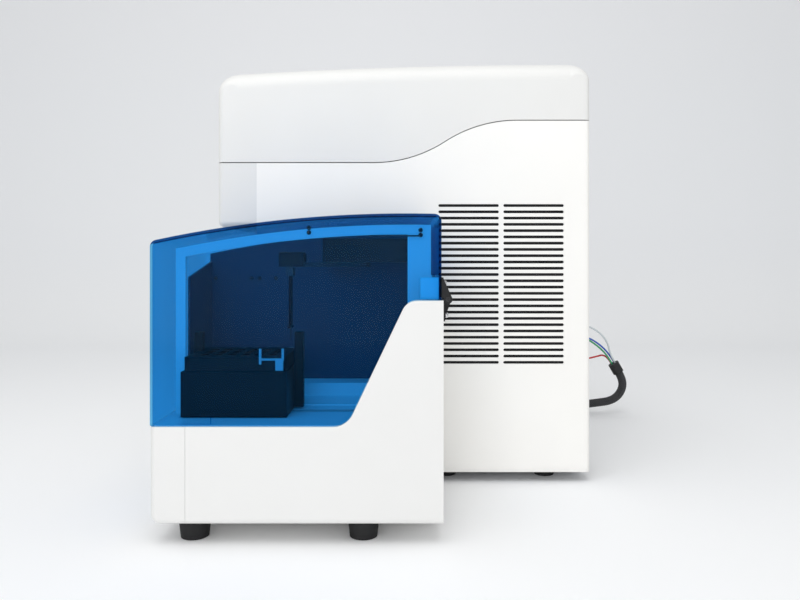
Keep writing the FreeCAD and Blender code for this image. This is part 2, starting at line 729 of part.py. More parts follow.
def make_flow_cell():
    """Steel block on the bench that clamps the square glass flow cell in its window."""
    half = 24.0
    height = 66.0
    window = 9.0
    glass = 6.0
    block = box(cell_x - half, cell_x + half, beam_y - half, beam_y + half, bench_top, bench_top + height)
    through_x = box(cell_x - half - 1, cell_x + half + 1, beam_y - window, beam_y + window,
                    beam_z - 12, beam_z + 12)
    through_y = box(cell_x - window, cell_x + window, beam_y - window, beam_y + half + 1,
                    beam_z - 12, beam_z + 12)
    block = block.cut(through_x).cut(through_y)
    cap = rod(ALONG_Z, cell_x, beam_y, bench_top + height, 9.0, 10.0)
    add("flow_cell_block", block.fuse(cap).removeSplitter())
    add("flow_cell", box(cell_x - glass, cell_x + glass, beam_y - glass, beam_y + glass,
                         beam_z - 12, beam_z + 12))


def make_detectors():
    """Eight-sided filter block with detector modules around it, and the forward detector."""
    radius = FILTER_BLOCK_RADIUS
    flat = radius * math.cos(math.radians(22.5))
    block_y = barrel_start + BARREL_LENGTH + FILTER_BLOCK_GAP + flat
    block_height = 52.0
    corners = []
    for k in range(9):
        angle = math.radians(22.5 + 45 * k)
        corners.append(Vec(cell_x + radius * math.cos(angle), block_y + radius * math.sin(angle), bench_top))
    block = Part.Face(Part.makePolygon(corners)).extrude(Vec(0, 0, block_height))
    lid_plate = rod(ALONG_Z, cell_x, block_y, bench_top + block_height, radius - 12, 5.0)
    add("detector_block", block.fuse(lid_plate).removeSplitter())
    modules = []
    for k in range(DETECTOR_COUNT):
        module = rod(ALONG_X, cell_x + flat, block_y, beam_z, 13.0, 30.0)
        module = module.fuse(box(cell_x + flat + 30, cell_x + flat + 36, block_y - 15, block_y + 15,
                                 beam_z - 15, beam_z + 15))
        module.rotate(Vec(cell_x, block_y, 0), ALONG_Z, -45 + 45 * k)
        modules.append(module.removeSplitter())
    forward = box(bench_right - 34, bench_right - 14, beam_y - 16, beam_y + 16, bench_top, beam_z + 16)
    modules.append(forward.cut(rod(ALONG_X, bench_right - 35, beam_y, beam_z, 6.0, 12.0)))
    add("light_detectors", many(modules))


# Main unit: fluidics and electronics on the tray
SYRINGE_TRAVEL = 30.0
SYRINGE_ROD_RADIUS = 4.0
PUMP_RADIUS = 24.0
PUMP_LENGTH = 78.0

syringe_x = main_right - 85.0
syringe_y = panel_front + 70.0


def make_fluidics():
    """Two diaphragm pumps on cradles and a valve block with its solenoids."""
    pieces = []
    for index in range(2):
        x = main_middle + 40 + index * 75
        y = panel_front + 190.0
        z = tray_top + PUMP_RADIUS + 8
        motor = rod(ALONG_Y, x, y, z, PUMP_RADIUS, PUMP_LENGTH)
        head = box(x - 27, x + 27, y - 30, y, tray_top, z + 27)
        cradle = box(x - 18, x + 18, y, y + PUMP_LENGTH - 10, tray_top, z)
        pieces.append(join(motor, head, cradle))
    valve_x = main_middle - 30.0
    valve_y = panel_front + 60.0
    block = box(valve_x, valve_x + 110, valve_y, valve_y + 36, tray_top, tray_top + 30)
    for index in range(4):
        block = block.fuse(rod(ALONG_Z, valve_x + 16 + index * 26, valve_y + 18, tray_top + 30, 10.0, 32.0))
    pieces.append(block.removeSplitter())
    add("fluid_pumps", many(pieces))


def make_syringe_pump():
    """Upright syringe pump: drive housing with its barrel, and the plunger below on its guide."""
    half = 28.0
    depth = 60.0
    barrel_radius = 9.0
    barrel_length = 62.0
    housing_top = tray_top + 190.0
    bore = SYRINGE_ROD_RADIUS + RUNNING_CLEARANCE
    back = box(syringe_x - half, syringe_x + half, syringe_y, syringe_y + depth, tray_top, housing_top)
    head = box(syringe_x - half, syringe_x + half, syringe_y - 40, syringe_y, housing_top - 34, housing_top)
    barrel_z = housing_top - 34 - barrel_length
    barrel = rod(ALONG_Z, syringe_x, syringe_y - 20, barrel_z, barrel_radius, barrel_length)
    pump = join(back, head, barrel)
    pump = pump.cut(rod(ALONG_Z, syringe_x, syringe_y - 20, barrel_z - 1, bore, barrel_length + 1))
    add("syringe_pump", pump)
    yoke_top = barrel_z - 2.0
    yoke = box(syringe_x - 14, syringe_x + 14, syringe_y - 34, syringe_y - SLIDE_CLEARANCE,
               yoke_top - 12, yoke_top)
    plunger = rod(ALONG_Z, syringe_x, syringe_y - 20, yoke_top, SYRINGE_ROD_RADIUS, barrel_length - 4)
    add("syringe_plunger", yoke.fuse(plunger).removeSplitter())


def make_electronics():
    """Power supply in a slotted case, and the control board on its standoffs."""
    x0 = inside_left + 25.0
    y0 = panel_front + 150.0
    case = box(x0, x0 + 110, y0, y0 + 220, tray_top, tray_top + 62)
    slots = []
    for row in range(8):
        y = y0 + 20 + row * 12
        slots.append(box(x0 + 15, x0 + 95, y, y + 5, tray_top + 52, tray_top + 63))
    add("power_supply", case.cut(many(slots)))
    board_x = main_middle - 60.0
    board_y = panel_front + 300.0
    board_z = tray_top + 10.0
    board = box(board_x, board_x + 200, board_y, board_y + 150, board_z, board_z + 2)
    for x in (board_x + 8, board_x + 192):
        for y in (board_y + 8, board_y + 142):
            board = board.fuse(rod(ALONG_Z, x, y, tray_top, 4.0, 10.0))
    chips = ((20, 30, 40, 40, 6), (90, 40, 30, 30, 4), (30, 100, 90, 14, 12), (150, 20, 20, 90, 14))
    for x, y, width, length, height in chips:
        board = board.fuse(box(board_x + x, board_x + x + width, board_y + y, board_y + y + length,
                               board_z + 2, board_z + 2 + height))
    add("control_board", board.removeSplitter())


# Power button on the fascia
BUTTON_RADIUS = 11.0
BUTTON_TRAVEL = 2.0
BUTTON_FROM_RIGHT = 70.0
BUTTON_HEIGHT = 452.0

button_x = main_right - BUTTON_FROM_RIGHT


def make_button(fascia):
    """Round push button that slides in a bore of the fascia, with a collar behind."""
    stand_out = 2.5
    collar_gap = 0.4
    bore = rod(ALONG_Y, button_x, main_front - 1, BUTTON_HEIGHT, BUTTON_RADIUS + SLIDE_CLEARANCE, BODY_WALL + 2)
    start = main_front - stand_out
    length = stand_out + BODY_WALL + collar_gap
    cap = rod(ALONG_Y, button_x, start, BUTTON_HEIGHT, BUTTON_RADIUS, length)
    cap = round_edges(cap, 1.0, lambda e: lies_at(e, "Y", start))
    collar = rod(ALONG_Y, button_x, start + length, BUTTON_HEIGHT, BUTTON_RADIUS + 2.5, 3.0)
    add("power_button", cap.fuse(collar).removeSplitter())
    add("front_fascia", fascia.cut(bore))


# Hinges of the lid and of the sampler cover
HINGE_BARREL_RADIUS = 5.5
HINGE_PIN_RADIUS = 2.5
HINGE_LEAF = 2.5
HINGE_RIB = 4.0
LID_HINGE_WIDTH = 60.0
LID_HINGE_INSET = 95.0
LID_LEAF_TALL = 34.0
COVER_HINGE_WIDTH = 36.0
COVER_HINGE_INSET = 27.0
COVER_LEAF_TALL = 27.0

lid_pivot_y = main_rear + HINGE_BARREL_RADIUS + 0.5
lid_pivot_z = SEAM_HIGH + SEAM_GAP / 2
cover_pivot_y = sampler_front + SAMPLER_LENGTH + HINGE_BARREL_RADIUS + 0.5
cover_pivot_z = SHOULDER_HEIGHT
hinge_pins = []
fixed_leaves = []


def gusset(x0, pivot_y, pivot_z, face, tall, way):
    """A wedge between a hinge's leaf and its barrel, above the pivot (way 1) or below it (way -1)."""
    lean = math.radians(20)
    seat = face + HINGE_LEAF - 0.5
    corners = [
        (seat, pivot_z + way * (tall - 1)),
        (seat + 0.5, pivot_z + way * (tall - 1)),
        (pivot_y + HINGE_BARREL_RADIUS * math.cos(lean), pivot_z + way * HINGE_BARREL_RADIUS * math.sin(lean)),
        (pivot_y, pivot_z + way * 1.0),
        (seat, pivot_z + way * (HINGE_BARREL_RADIUS + 0.4)),
    ]
    edges = []
    for index, corner in enumerate(corners):
        edges.append(line(corner, corners[(index + 1) % len(corners)]))
    return side_prism(edges, x0, x0 + HINGE_RIB)


def hinge(x, width, pivot_y, pivot_z, fixed_face, moving_face, tall):
    """One butt hinge: fixed leaf with the middle knuckle, moving leaf with two outer knuckles, pin."""
    knuckle = width / 3
    gap = 0.4
    bore = HINGE_PIN_RADIUS + RUNNING_CLEARANCE
    start = x - width / 2
    clear = HINGE_BARREL_RADIUS + 0.4
    low = rod(ALONG_X, start + knuckle + gap, pivot_y, pivot_z, HINGE_BARREL_RADIUS, knuckle - 2 * gap)
    neck = box(start + knuckle + gap, start + 2 * knuckle - gap, fixed_face, pivot_y, pivot_z - 4 - HINGE_LEAF,
               pivot_z - 2)
    leaf = box(start, start + width, fixed_face, fixed_face + HINGE_LEAF, pivot_z - tall, pivot_z - clear)
    fixed = join(low, neck, leaf)
    moving = box(start, start + width, moving_face, moving_face + HINGE_LEAF, pivot_z + clear, pivot_z + tall)
    for place in (start, start + 2 * knuckle + gap):
        barrel = rod(ALONG_X, place, pivot_y, pivot_z, HINGE_BARREL_RADIUS, knuckle - gap)
        arm = box(place, place + knuckle - gap, moving_face, pivot_y, pivot_z + 2, pivot_z + 4 + HINGE_LEAF)
        moving = moving.fuse(barrel).fuse(arm)
        rib_start = start if place == start else start + width - HINGE_RIB
        moving = moving.fuse(gusset(rib_start, pivot_y, pivot_z, moving_face, tall, 1))
    fixed = fixed.fuse(gusset(x - HINGE_RIB / 2, pivot_y, pivot_z, fixed_face, tall, -1))
    hole = rod(ALONG_X, start - 1, pivot_y, pivot_z, bore, width + 2)
    fixed_leaves.append(fixed.cut(hole).removeSplitter())
    hinge_pins.append(rod(ALONG_X, start, pivot_y, pivot_z, HINGE_PIN_RADIUS, width))
    return moving.cut(hole).removeSplitter()


def make_hinges():
    """Two hinges behind the lid and two behind the sampler cover."""
    lid_leaves = []
    for x in (main_left + LID_HINGE_INSET, main_right - LID_HINGE_INSET):
        lid_leaves.append(hinge(x, LID_HINGE_WIDTH, lid_pivot_y, lid_pivot_z, main_rear, main_rear, LID_LEAF_TALL))
    add("lid_hinge_leaves", many(lid_leaves))
    cover_leaves = []
    for x in (sampler_left + COVER_HINGE_INSET, sampler_right - COVER_HINGE_INSET):
        cover_leaves.append(hinge(
            x, COVER_HINGE_WIDTH, cover_pivot_y, cover_pivot_z,
            sampler_front + SAMPLER_LENGTH, sampler_front + COVER_LENGTH, COVER_LEAF_TALL,
        ))
    add("cover_hinge_leaves", many(cover_leaves))
    add("fixed_hinge_leaves", many(fixed_leaves))
    add("hinge_pins", many(hinge_pins))


# Sampler: housing and cover
FLOOR_THICKNESS = 3.0
DECK_TOP = 146.0
DECK_THICKNESS = 4.0
FRAME_DEPTH = 74.0
FRAME_THICKNESS = 4.0
FRAME_INSET = 10.0
FRAME_BORDER = 13.0
FRAME_REAR_BORDER = 31.0
FRAME_REAR_FOOT = 238.0
CHAMBER_GAP = 2.0
CHAMBER_WALL = 3.0
LEDGE_WIDTH = 42.0
LEDGE_HEIGHT = 18.5
HINGE_BLOCK_DEPTH = 23.0
HINGE_BLOCK_HEIGHT = 27.0
CATCH_START = 36.0
CATCH_END = 75.0
RETURN_DEPTH = 118.0
RETURN_TOP_FAR = 348.0
RETURN_TOP_NEAR = 325.0
CHANNEL_START = 30.0
DOCK_RADIUS = 14.0
DOCK_PLACES = ((132.0, 90.0), (312.0, 90.0), (332.0, 250.0))

deck_bottom = DECK_TOP - DECK_THICKNESS
wall_left = sampler_left + SHELL_WALL
wall_right = sampler_right - SHELL_WALL
wall_rear = sampler_front + SAMPLER_LENGTH - SHELL_WALL


def parting_line(drop):
    """The edge between cover and housing, from front to rear; the housing's lies a little lower."""
    slope = math.atan2(SHOULDER_HEIGHT - COVER_EDGE, SHOULDER_START - SLOPE_START)
    shift = drop / math.sin(slope) - drop / math.tan(slope)
    corners = [
        (sampler_front, COVER_EDGE - drop),
        (sampler_front + SLOPE_START + shift, COVER_EDGE - drop),
        (sampler_front + SHOULDER_START + shift, SHOULDER_HEIGHT - drop),
        (sampler_front + SAMPLER_LENGTH + 1, SHOULDER_HEIGHT - drop),
    ]
    return corners, rounded_line(corners, (SLOPE_LOW_RADIUS + drop, SLOPE_HIGH_RADIUS - drop))


def cover_crown(inset):
    """The long arc of the cover's roof, or one that runs inside it."""
    return circle_through(
        (sampler_front + 7.0, COVER_FRONT_TOP - inset),
        (sampler_front + SAMPLER_LENGTH / 2, COVER_MIDDLE_TOP - inset),
        (sampler_front + SAMPLER_LENGTH - 10, COVER_REAR_TOP - inset),
    )


def roofed(front, rear, low, inset, x0, x1):
    """A side outline with a flat foot, upright ends and the cover's roof line, swept across."""
    crown = cover_crown(inset)
    middle = (front + rear) / 2
    top_front = (front, height_on(crown, front))
    top_rear = (rear, height_on(crown, rear))
    edges = [
        line((front, low), top_front),
        arc(top_front, (middle, height_on(crown, middle)), top_rear),
        line(top_rear, (rear, low)),
        line((rear, low), (front, low)),
    ]
    return side_prism(edges, x0, x1)


def cover_form(inset):
    """The cover's rounded block, or the hollow inside it."""
    front = sampler_front + inset
    rear = sampler_front + COVER_LENGTH - inset
    low = COVER_EDGE - 10.0
    left = sampler_left + inset
    right = sampler_right - inset
    form = roofed(front, rear, low, inset, left, right)
    crown = cover_crown(inset)
    for end in (front, rear):
        height = height_on(crown, end)
        form = round_edges(form, COVER_CORNER_RADIUS - inset,
                           lambda e: lies_at(e, "Y", end) and lies_at(e, "Z", height))

    def is_side(edge):
        at_side = lies_at(edge, "X", left) or lies_at(edge, "X", right)
        return at_side and not lies_at(edge, "Z", low)

    return round_edges(form, COVER_SIDE_RADIUS - inset, is_side)


def above_parting(drop):
    """Everything over the edge between cover and housing."""
    corners, edges = parting_line(drop)
    ceiling = COVER_REAR_TOP + 20.0
    first = corners[0]
    last = corners[-1]
    edges.append(line(last, (last[0], ceiling)))
    edges.append(line((last[0], ceiling), (first[0], ceiling)))
    edges.append(line((first[0], ceiling), first))
    return side_prism(edges, sampler_left - 1, sampler_right + 1)


def make_cover():
    """Clear one-piece cover with a thicker finger catch on its near lower edge."""
    shell = cover_form(0.0).common(above_parting(0.0)).cut(cover_form(COVER_WALL))
    catch = box(
        sampler_right - COVER_WALL - 4, sampler_right - COVER_WALL,
        sampler_front + CATCH_START, sampler_front + CATCH_END, COVER_EDGE + 1.5, COVER_EDGE + 10,
    )
    add("sampler_cover", shell.fuse(catch).removeSplitter())
    blocks = []
    rear = sampler_front + COVER_LENGTH - COVER_WALL
    for x in (sampler_left + COVER_HINGE_INSET, sampler_right - COVER_HINGE_INSET):
        half = COVER_HINGE_WIDTH / 2
        block = box(x - half, x + half, rear - HINGE_BLOCK_DEPTH, rear, SHOULDER_HEIGHT + 1,
                    SHOULDER_HEIGHT + HINGE_BLOCK_HEIGHT)
        blocks.append(round_edges(block, 2.0, lambda e: lies_at(e, "Z", SHOULDER_HEIGHT + HINGE_BLOCK_HEIGHT)
                                  and not lies_at(e, "Y", rear)))
    add("hinge_blocks", many(blocks))


def housing_form(inset):
    """The housing's rounded block, or the hollow inside it, with flat ends above and below."""
    front = sampler_front + FRONT_PANEL_SETBACK + inset
    rear = sampler_front + SAMPLER_LENGTH - inset
    low = SAMPLER_FOOT_HEIGHT + inset
    top = SHOULDER_HEIGHT + 10.0
    left = sampler_left + inset
    right = sampler_right - inset
    form = box(left, right, front, rear, low, top)
    form = round_edges(form, FRONT_TOE_RADIUS - inset, lambda e: lies_at(e, "Y", front) and lies_at(e, "Z", low))

    def is_upright(edge):
        at_side = lies_at(edge, "X", left) or lies_at(edge, "X", right)
        return at_side and lies_at(edge, "Y", front)

    return round_edges(form, COVER_SIDE_RADIUS - inset, is_upright)


def make_housing():
    """Housing walls split into a front panel and a body shell, with a floor plate inside."""
    walls = housing_form(0.0).cut(housing_form(SHELL_WALL)).cut(above_parting(COVER_GAP))
    seam = sampler_front + FRONT_PANEL_SEAM
    reach = sampler_front + SAMPLER_LENGTH + 1
    left = sampler_left - 1
    right = sampler_right + 1
    top = SHOULDER_HEIGHT + 20
    docks = []
    for y, z in DOCK_PLACES:
        docks.append(rod(ALONG_X, main_right, sampler_front + y, z, DOCK_RADIUS, SAMPLER_GAP + 1))
    add("sampler_front_panel", walls.common(box(left, right, sampler_front - 1, seam - PANEL_GAP, 0, top)))
    add("sampler_shell", join(walls.common(box(left, right, seam, reach, 0, top)), *docks))
    gap = PANEL_GAP
    plate_bottom = SAMPLER_FOOT_HEIGHT + SHELL_WALL
    add("sampler_floor", box(
        wall_left + 5, wall_right - 5, sampler_front + 20, wall_rear - gap,
        plate_bottom, plate_bottom + FLOOR_THICKNESS,
    ))


def make_chamber():
    """White deck with its channel, slot and ledge, the arch-shaped window frame and the dark back wall,
    which folds round the front."""
    gap = PANEL_GAP
    deck_front = sampler_front + FRONT_PANEL_SETBACK + SHELL_WALL + gap
    deck = box(wall_left + gap, wall_right - gap, deck_front, wall_rear - gap, deck_bottom, DECK_TOP)
    deck = round_edges(deck, COVER_SIDE_RADIUS - SHELL_WALL, lambda e: lies_at(e, "Y", deck_front)
                       and (lies_at(e, "X", wall_left + gap) or lies_at(e, "X", wall_right - gap)))
    ledge_left = wall_left + CHAMBER_GAP + CHAMBER_WALL
    frame_front = sampler_front + FRAME_INSET
    ledge = box(ledge_left, ledge_left + LEDGE_WIDTH, frame_front + CHAMBER_WALL + gap, wall_rear - gap, DECK_TOP,
                DECK_TOP + LEDGE_HEIGHT)
    channel = box(
        sampler_right - 133, sampler_right - FRAME_DEPTH + 1, sampler_front + CHANNEL_START, wall_rear - 3,
        DECK_TOP - 1.5, DECK_TOP + 1,
    )
    slot_cut = box(
        carrier_x - SLOT_WIDTH / 2, carrier_x + SLOT_WIDTH / 2,
        pillar_start - 4, pillar_start + PILLAR_LENGTH + CARRIER_TRAVEL + 4, deck_bottom - 1, DECK_TOP + 1,
    )
    wash_hole = rod(ALONG_Z, arm_pivot_x, needle_y, deck_bottom - 1, WASH_RADIUS + 0.2, DECK_THICKNESS + 2)
    add("deck_plate", deck.fuse(ledge).cut(channel).cut(slot_cut).cut(wash_hole).removeSplitter())
    x1 = sampler_right - FRAME_DEPTH
    x0 = x1 - FRAME_THICKNESS
    frame_rear = sampler_front + COVER_LENGTH - FRAME_INSET
    outer = roofed(frame_front, frame_rear, DECK_TOP, FRAME_INSET, x0, x1)
    window = roofed(
        frame_front + FRAME_BORDER, frame_rear - FRAME_REAR_BORDER, DECK_TOP - 1,
        FRAME_INSET + FRAME_BORDER, x0 - 1, x1 + 1,
    )
    under_rear = box(x0 - 1, x1 + 1, frame_rear - FRAME_REAR_BORDER - 1, frame_rear + 1,
                     DECK_TOP - 1, FRAME_REAR_FOOT)
    rear_foot = box(x0, x1, frame_rear - 1, wall_rear, FRAME_REAR_FOOT, SHOULDER_HEIGHT - COVER_GAP)
    add("window_frame", outer.cut(window).cut(under_rear).fuse(rear_foot).removeSplitter())
    wall_x = wall_left + CHAMBER_GAP
    back = roofed(frame_front, frame_rear - 20, DECK_TOP, FRAME_INSET + 4, wall_x, wall_x + CHAMBER_WALL)
    near = wall_x + RETURN_DEPTH
    outline = Part.makePolygon([
        Vec(wall_x, frame_front, DECK_TOP), Vec(near, frame_front, DECK_TOP), Vec(near, frame_front, RETURN_TOP_NEAR),
        Vec(wall_x, frame_front, RETURN_TOP_FAR), Vec(wall_x, frame_front, DECK_TOP),
    ])
    front_return = Part.Face(outline).extrude(Vec(0, CHAMBER_WALL, 0))
    wall = back.fuse(front_return).removeSplitter()
    fold = CHAMBER_WALL - 0.5
    wall = round_edges(wall, fold, lambda e: lies_at(e, "X", wall_x) and lies_at(e, "Y", frame_front))
    add("chamber_wall", wall)


# Sampler: rack carrier and its drive
CARRIER_DEPTH = 114.0
CARRIER_LENGTH = 136.0
CARRIER_START = 26.0
CARRIER_NEAR = 43.0
CARRIER_CLEAR = 1.0
CARRIER_TOP = 205.0
CARRIER_WALL = 3.3
RACK_TOP = 223.5
RACK_FLOOR = 156.0
SOCKET_COLUMNS = 6
SOCKET_ROWS = 4
SOCKET_PITCH = 18.0
SOCKET_RADIUS = 6.4
POST_TOP = 250.0
POST_DEPTH = 115.0
CARRIER_TRAVEL = 177.4
PILLAR_LENGTH = 24.0
SLOT_WIDTH = 16.0
RAIL_WIDTH = 14.0
RAIL_TOP = 120.7
SCREW_RADIUS = 5.0
JOURNAL_RADIUS = 3.0
DRIVE_START = 24.0
DRIVE_END = 308.0

carrier_right = sampler_right - CARRIER_NEAR
carrier_left = carrier_right - CARRIER_DEPTH
carrier_front = sampler_front + CARRIER_START
carrier_rear = carrier_front + CARRIER_LENGTH
carrier_x = (carrier_left + carrier_right) / 2
carrier_y = (carrier_front + carrier_rear) / 2
carrier_bottom = DECK_TOP + CARRIER_CLEAR
pillar_start = carrier_y - PILLAR_LENGTH / 2
screw_x = carrier_x + 24.0
screw_z = RAIL_TOP - 5.0


def make_rack():
    """Tube rack with round sockets in its carrier, the two end posts and the grey clip."""
    carrier = box(carrier_left, carrier_right, carrier_front, carrier_rear, carrier_bottom, CARRIER_TOP)
    rack_x0 = carrier_left + CARRIER_WALL
    rack_x1 = carrier_right - CARRIER_WALL
    rack_y0 = carrier_front + CARRIER_WALL
    rack_y1 = carrier_rear - CARRIER_WALL
    rack_bottom = carrier_bottom + 5.0
    gap = SLIDE_CLEARANCE
    carrier = carrier.cut(box(rack_x0 - gap, rack_x1 + gap, rack_y0 - gap, rack_y1 + gap, rack_bottom, CARRIER_TOP + 1))
    post_x0 = sampler_right - POST_DEPTH - 6
    post_x1 = post_x0 + 12.0
    front_post = box(post_x0, post_x1, carrier_front - 2, carrier_front + 9.5, carrier_bottom, POST_TOP)
    rear_post = box(post_x0, post_x1, carrier_rear, carrier_rear + 12, carrier_bottom, POST_TOP)
    pillar = box(carrier_x - 6, carrier_x + 6, pillar_start, pillar_start + PILLAR_LENGTH, RAIL_TOP + 12, carrier_bottom)
    half_rail = RAIL_WIDTH / 2
    runner = box(carrier_x - half_rail - 9, screw_x + 9, pillar_start - 10, pillar_start + PILLAR_LENGTH + 10,
                 RAIL_TOP - 12, RAIL_TOP + 12)
    over_rail = box(
        carrier_x - half_rail - gap, carrier_x + half_rail + gap,
        pillar_start - 11, pillar_start + PILLAR_LENGTH + 11, RAIL_TOP - 13, RAIL_TOP + gap,
    )
    nut_bore = rod(ALONG_Y, screw_x, pillar_start - 11, screw_z, SCREW_RADIUS + RUNNING_CLEARANCE,
                   PILLAR_LENGTH + 22)
    runner = runner.cut(over_rail).cut(nut_bore)
    add("rack_carrier", join(carrier, front_post, rear_post, pillar, runner))
    rack = box(rack_x0, rack_x1, rack_y0, rack_y1, rack_bottom, RACK_TOP)
    rack = round_edges(rack, 3.0, lambda e: e.BoundBox.ZLength > RACK_TOP - rack_bottom - 1)
    rack = rack.cut(box(post_x0 - gap, post_x1 + gap, rack_y0 - 1, carrier_front + 9.5 + gap,
                        rack_bottom - 1, RACK_TOP + 1))
    sockets = []
    for column in range(SOCKET_COLUMNS):
        for row in range(SOCKET_ROWS):
            x = carrier_x + (row - (SOCKET_ROWS - 1) / 2) * SOCKET_PITCH
            y = carrier_y + (column - (SOCKET_COLUMNS - 1) / 2) * SOCKET_PITCH
            sockets.append(rod(ALONG_Z, x, y, RACK_FLOOR, SOCKET_RADIUS, RACK_TOP - RACK_FLOOR + 1))
    add("tube_rack", rack.cut(many(sockets)))
    clip_y = carrier_front + 100.0
    side = rack_x1 + 2.0
    clip = join(
        box(rack_x1, side, clip_y, clip_y + 3, RACK_TOP - 9, RACK_TOP + 11),
        box(rack_x1, side, clip_y + 29, clip_y + 32, RACK_TOP - 4, RACK_TOP + 11),
        box(rack_x1, side, clip_y, clip_y + 32, RACK_TOP - 4, RACK_TOP - 1.5),
        box(rack_x1, side, clip_y + 21, clip_y + 31, RACK_TOP - 17, RACK_TOP - 1.5),
    )
    add("rack_clip", clip)


def make_carrier_drive():
    """Guide rail on its web, end plates with the screw's bearings, a drive motor, and the lead screw."""
    half_rail = RAIL_WIDTH / 2
    floor = SAMPLER_FOOT_HEIGHT + SHELL_WALL + FLOOR_THICKNESS
    y0 = sampler_front + DRIVE_START
    y1 = sampler_front + DRIVE_END
    plate = 6.0
    web = box(carrier_x - 3, carrier_x + 3, y0, y1, floor, RAIL_TOP - 13)
    rail = box(carrier_x - half_rail, carrier_x + half_rail, y0, y1, RAIL_TOP - 13, RAIL_TOP)
    ends = []
    for y in (y0, y1 - plate):
        ends.append(box(carrier_x - half_rail - 6, screw_x + 11, y, y + plate, floor, RAIL_TOP + 8))
    motor = box(screw_x - 17, screw_x + 17, y1, y1 + 38, screw_z - 17, screw_z + 17)
    drive = join(rail, web, ends[0], ends[1], motor)
    bore = JOURNAL_RADIUS + RUNNING_CLEARANCE
    drive = drive.cut(rod(ALONG_Y, screw_x, y0 - 1, screw_z, bore, y1 - y0 + 11))
    add("carrier_rail", drive)
    thread = rod(ALONG_Y, screw_x, y0 + plate + SLIDE_CLEARANCE, screw_z, SCREW_RADIUS,
                 y1 - y0 - 2 * (plate + SLIDE_CLEARANCE))
    journals = rod(ALONG_Y, screw_x, y0 + 0.5, screw_z, JOURNAL_RADIUS, y1 - y0 + 8)
    add("carrier_screw", thread.fuse(journals).removeSplitter())


# Sampler: swinging probe arm
ARM_RADIUS = 92.0
ARM_PIVOT_SIDE = 164.0
ARM_PIVOT_BACK = 240.0
ARM_BOTTOM = 339.5
ARM_THICKNESS = 6.3
ARM_WIDTH = 14.0
ARM_SHAFT_RADIUS = 5.0
DRIVE_HOUSING_GAP = 0.5
DRIVE_HOUSING_TOP = 380.4
HEAD_TOP = 361.0
HEAD_WIDTH = 28.0
HEAD_LENGTH = 36.0
GUIDE_ROD_RADIUS = 1.75
GUIDE_ROD_SPREAD = 7.5
GUIDE_ROD_END = 252.0
NEEDLE_TIP = 232.0
NEEDLE_RADIUS = 0.9
PROBE_TRAVEL = 70.0
HOLDER_HEIGHT = 12.0
WASH_RADIUS = 5.5
WASH_TOP = 222.0

arm_pivot_x = sampler_right - ARM_PIVOT_SIDE
arm_pivot_y = sampler_front + ARM_PIVOT_BACK
needle_y = arm_pivot_y - ARM_RADIUS
arm_top = ARM_BOTTOM + ARM_THICKNESS


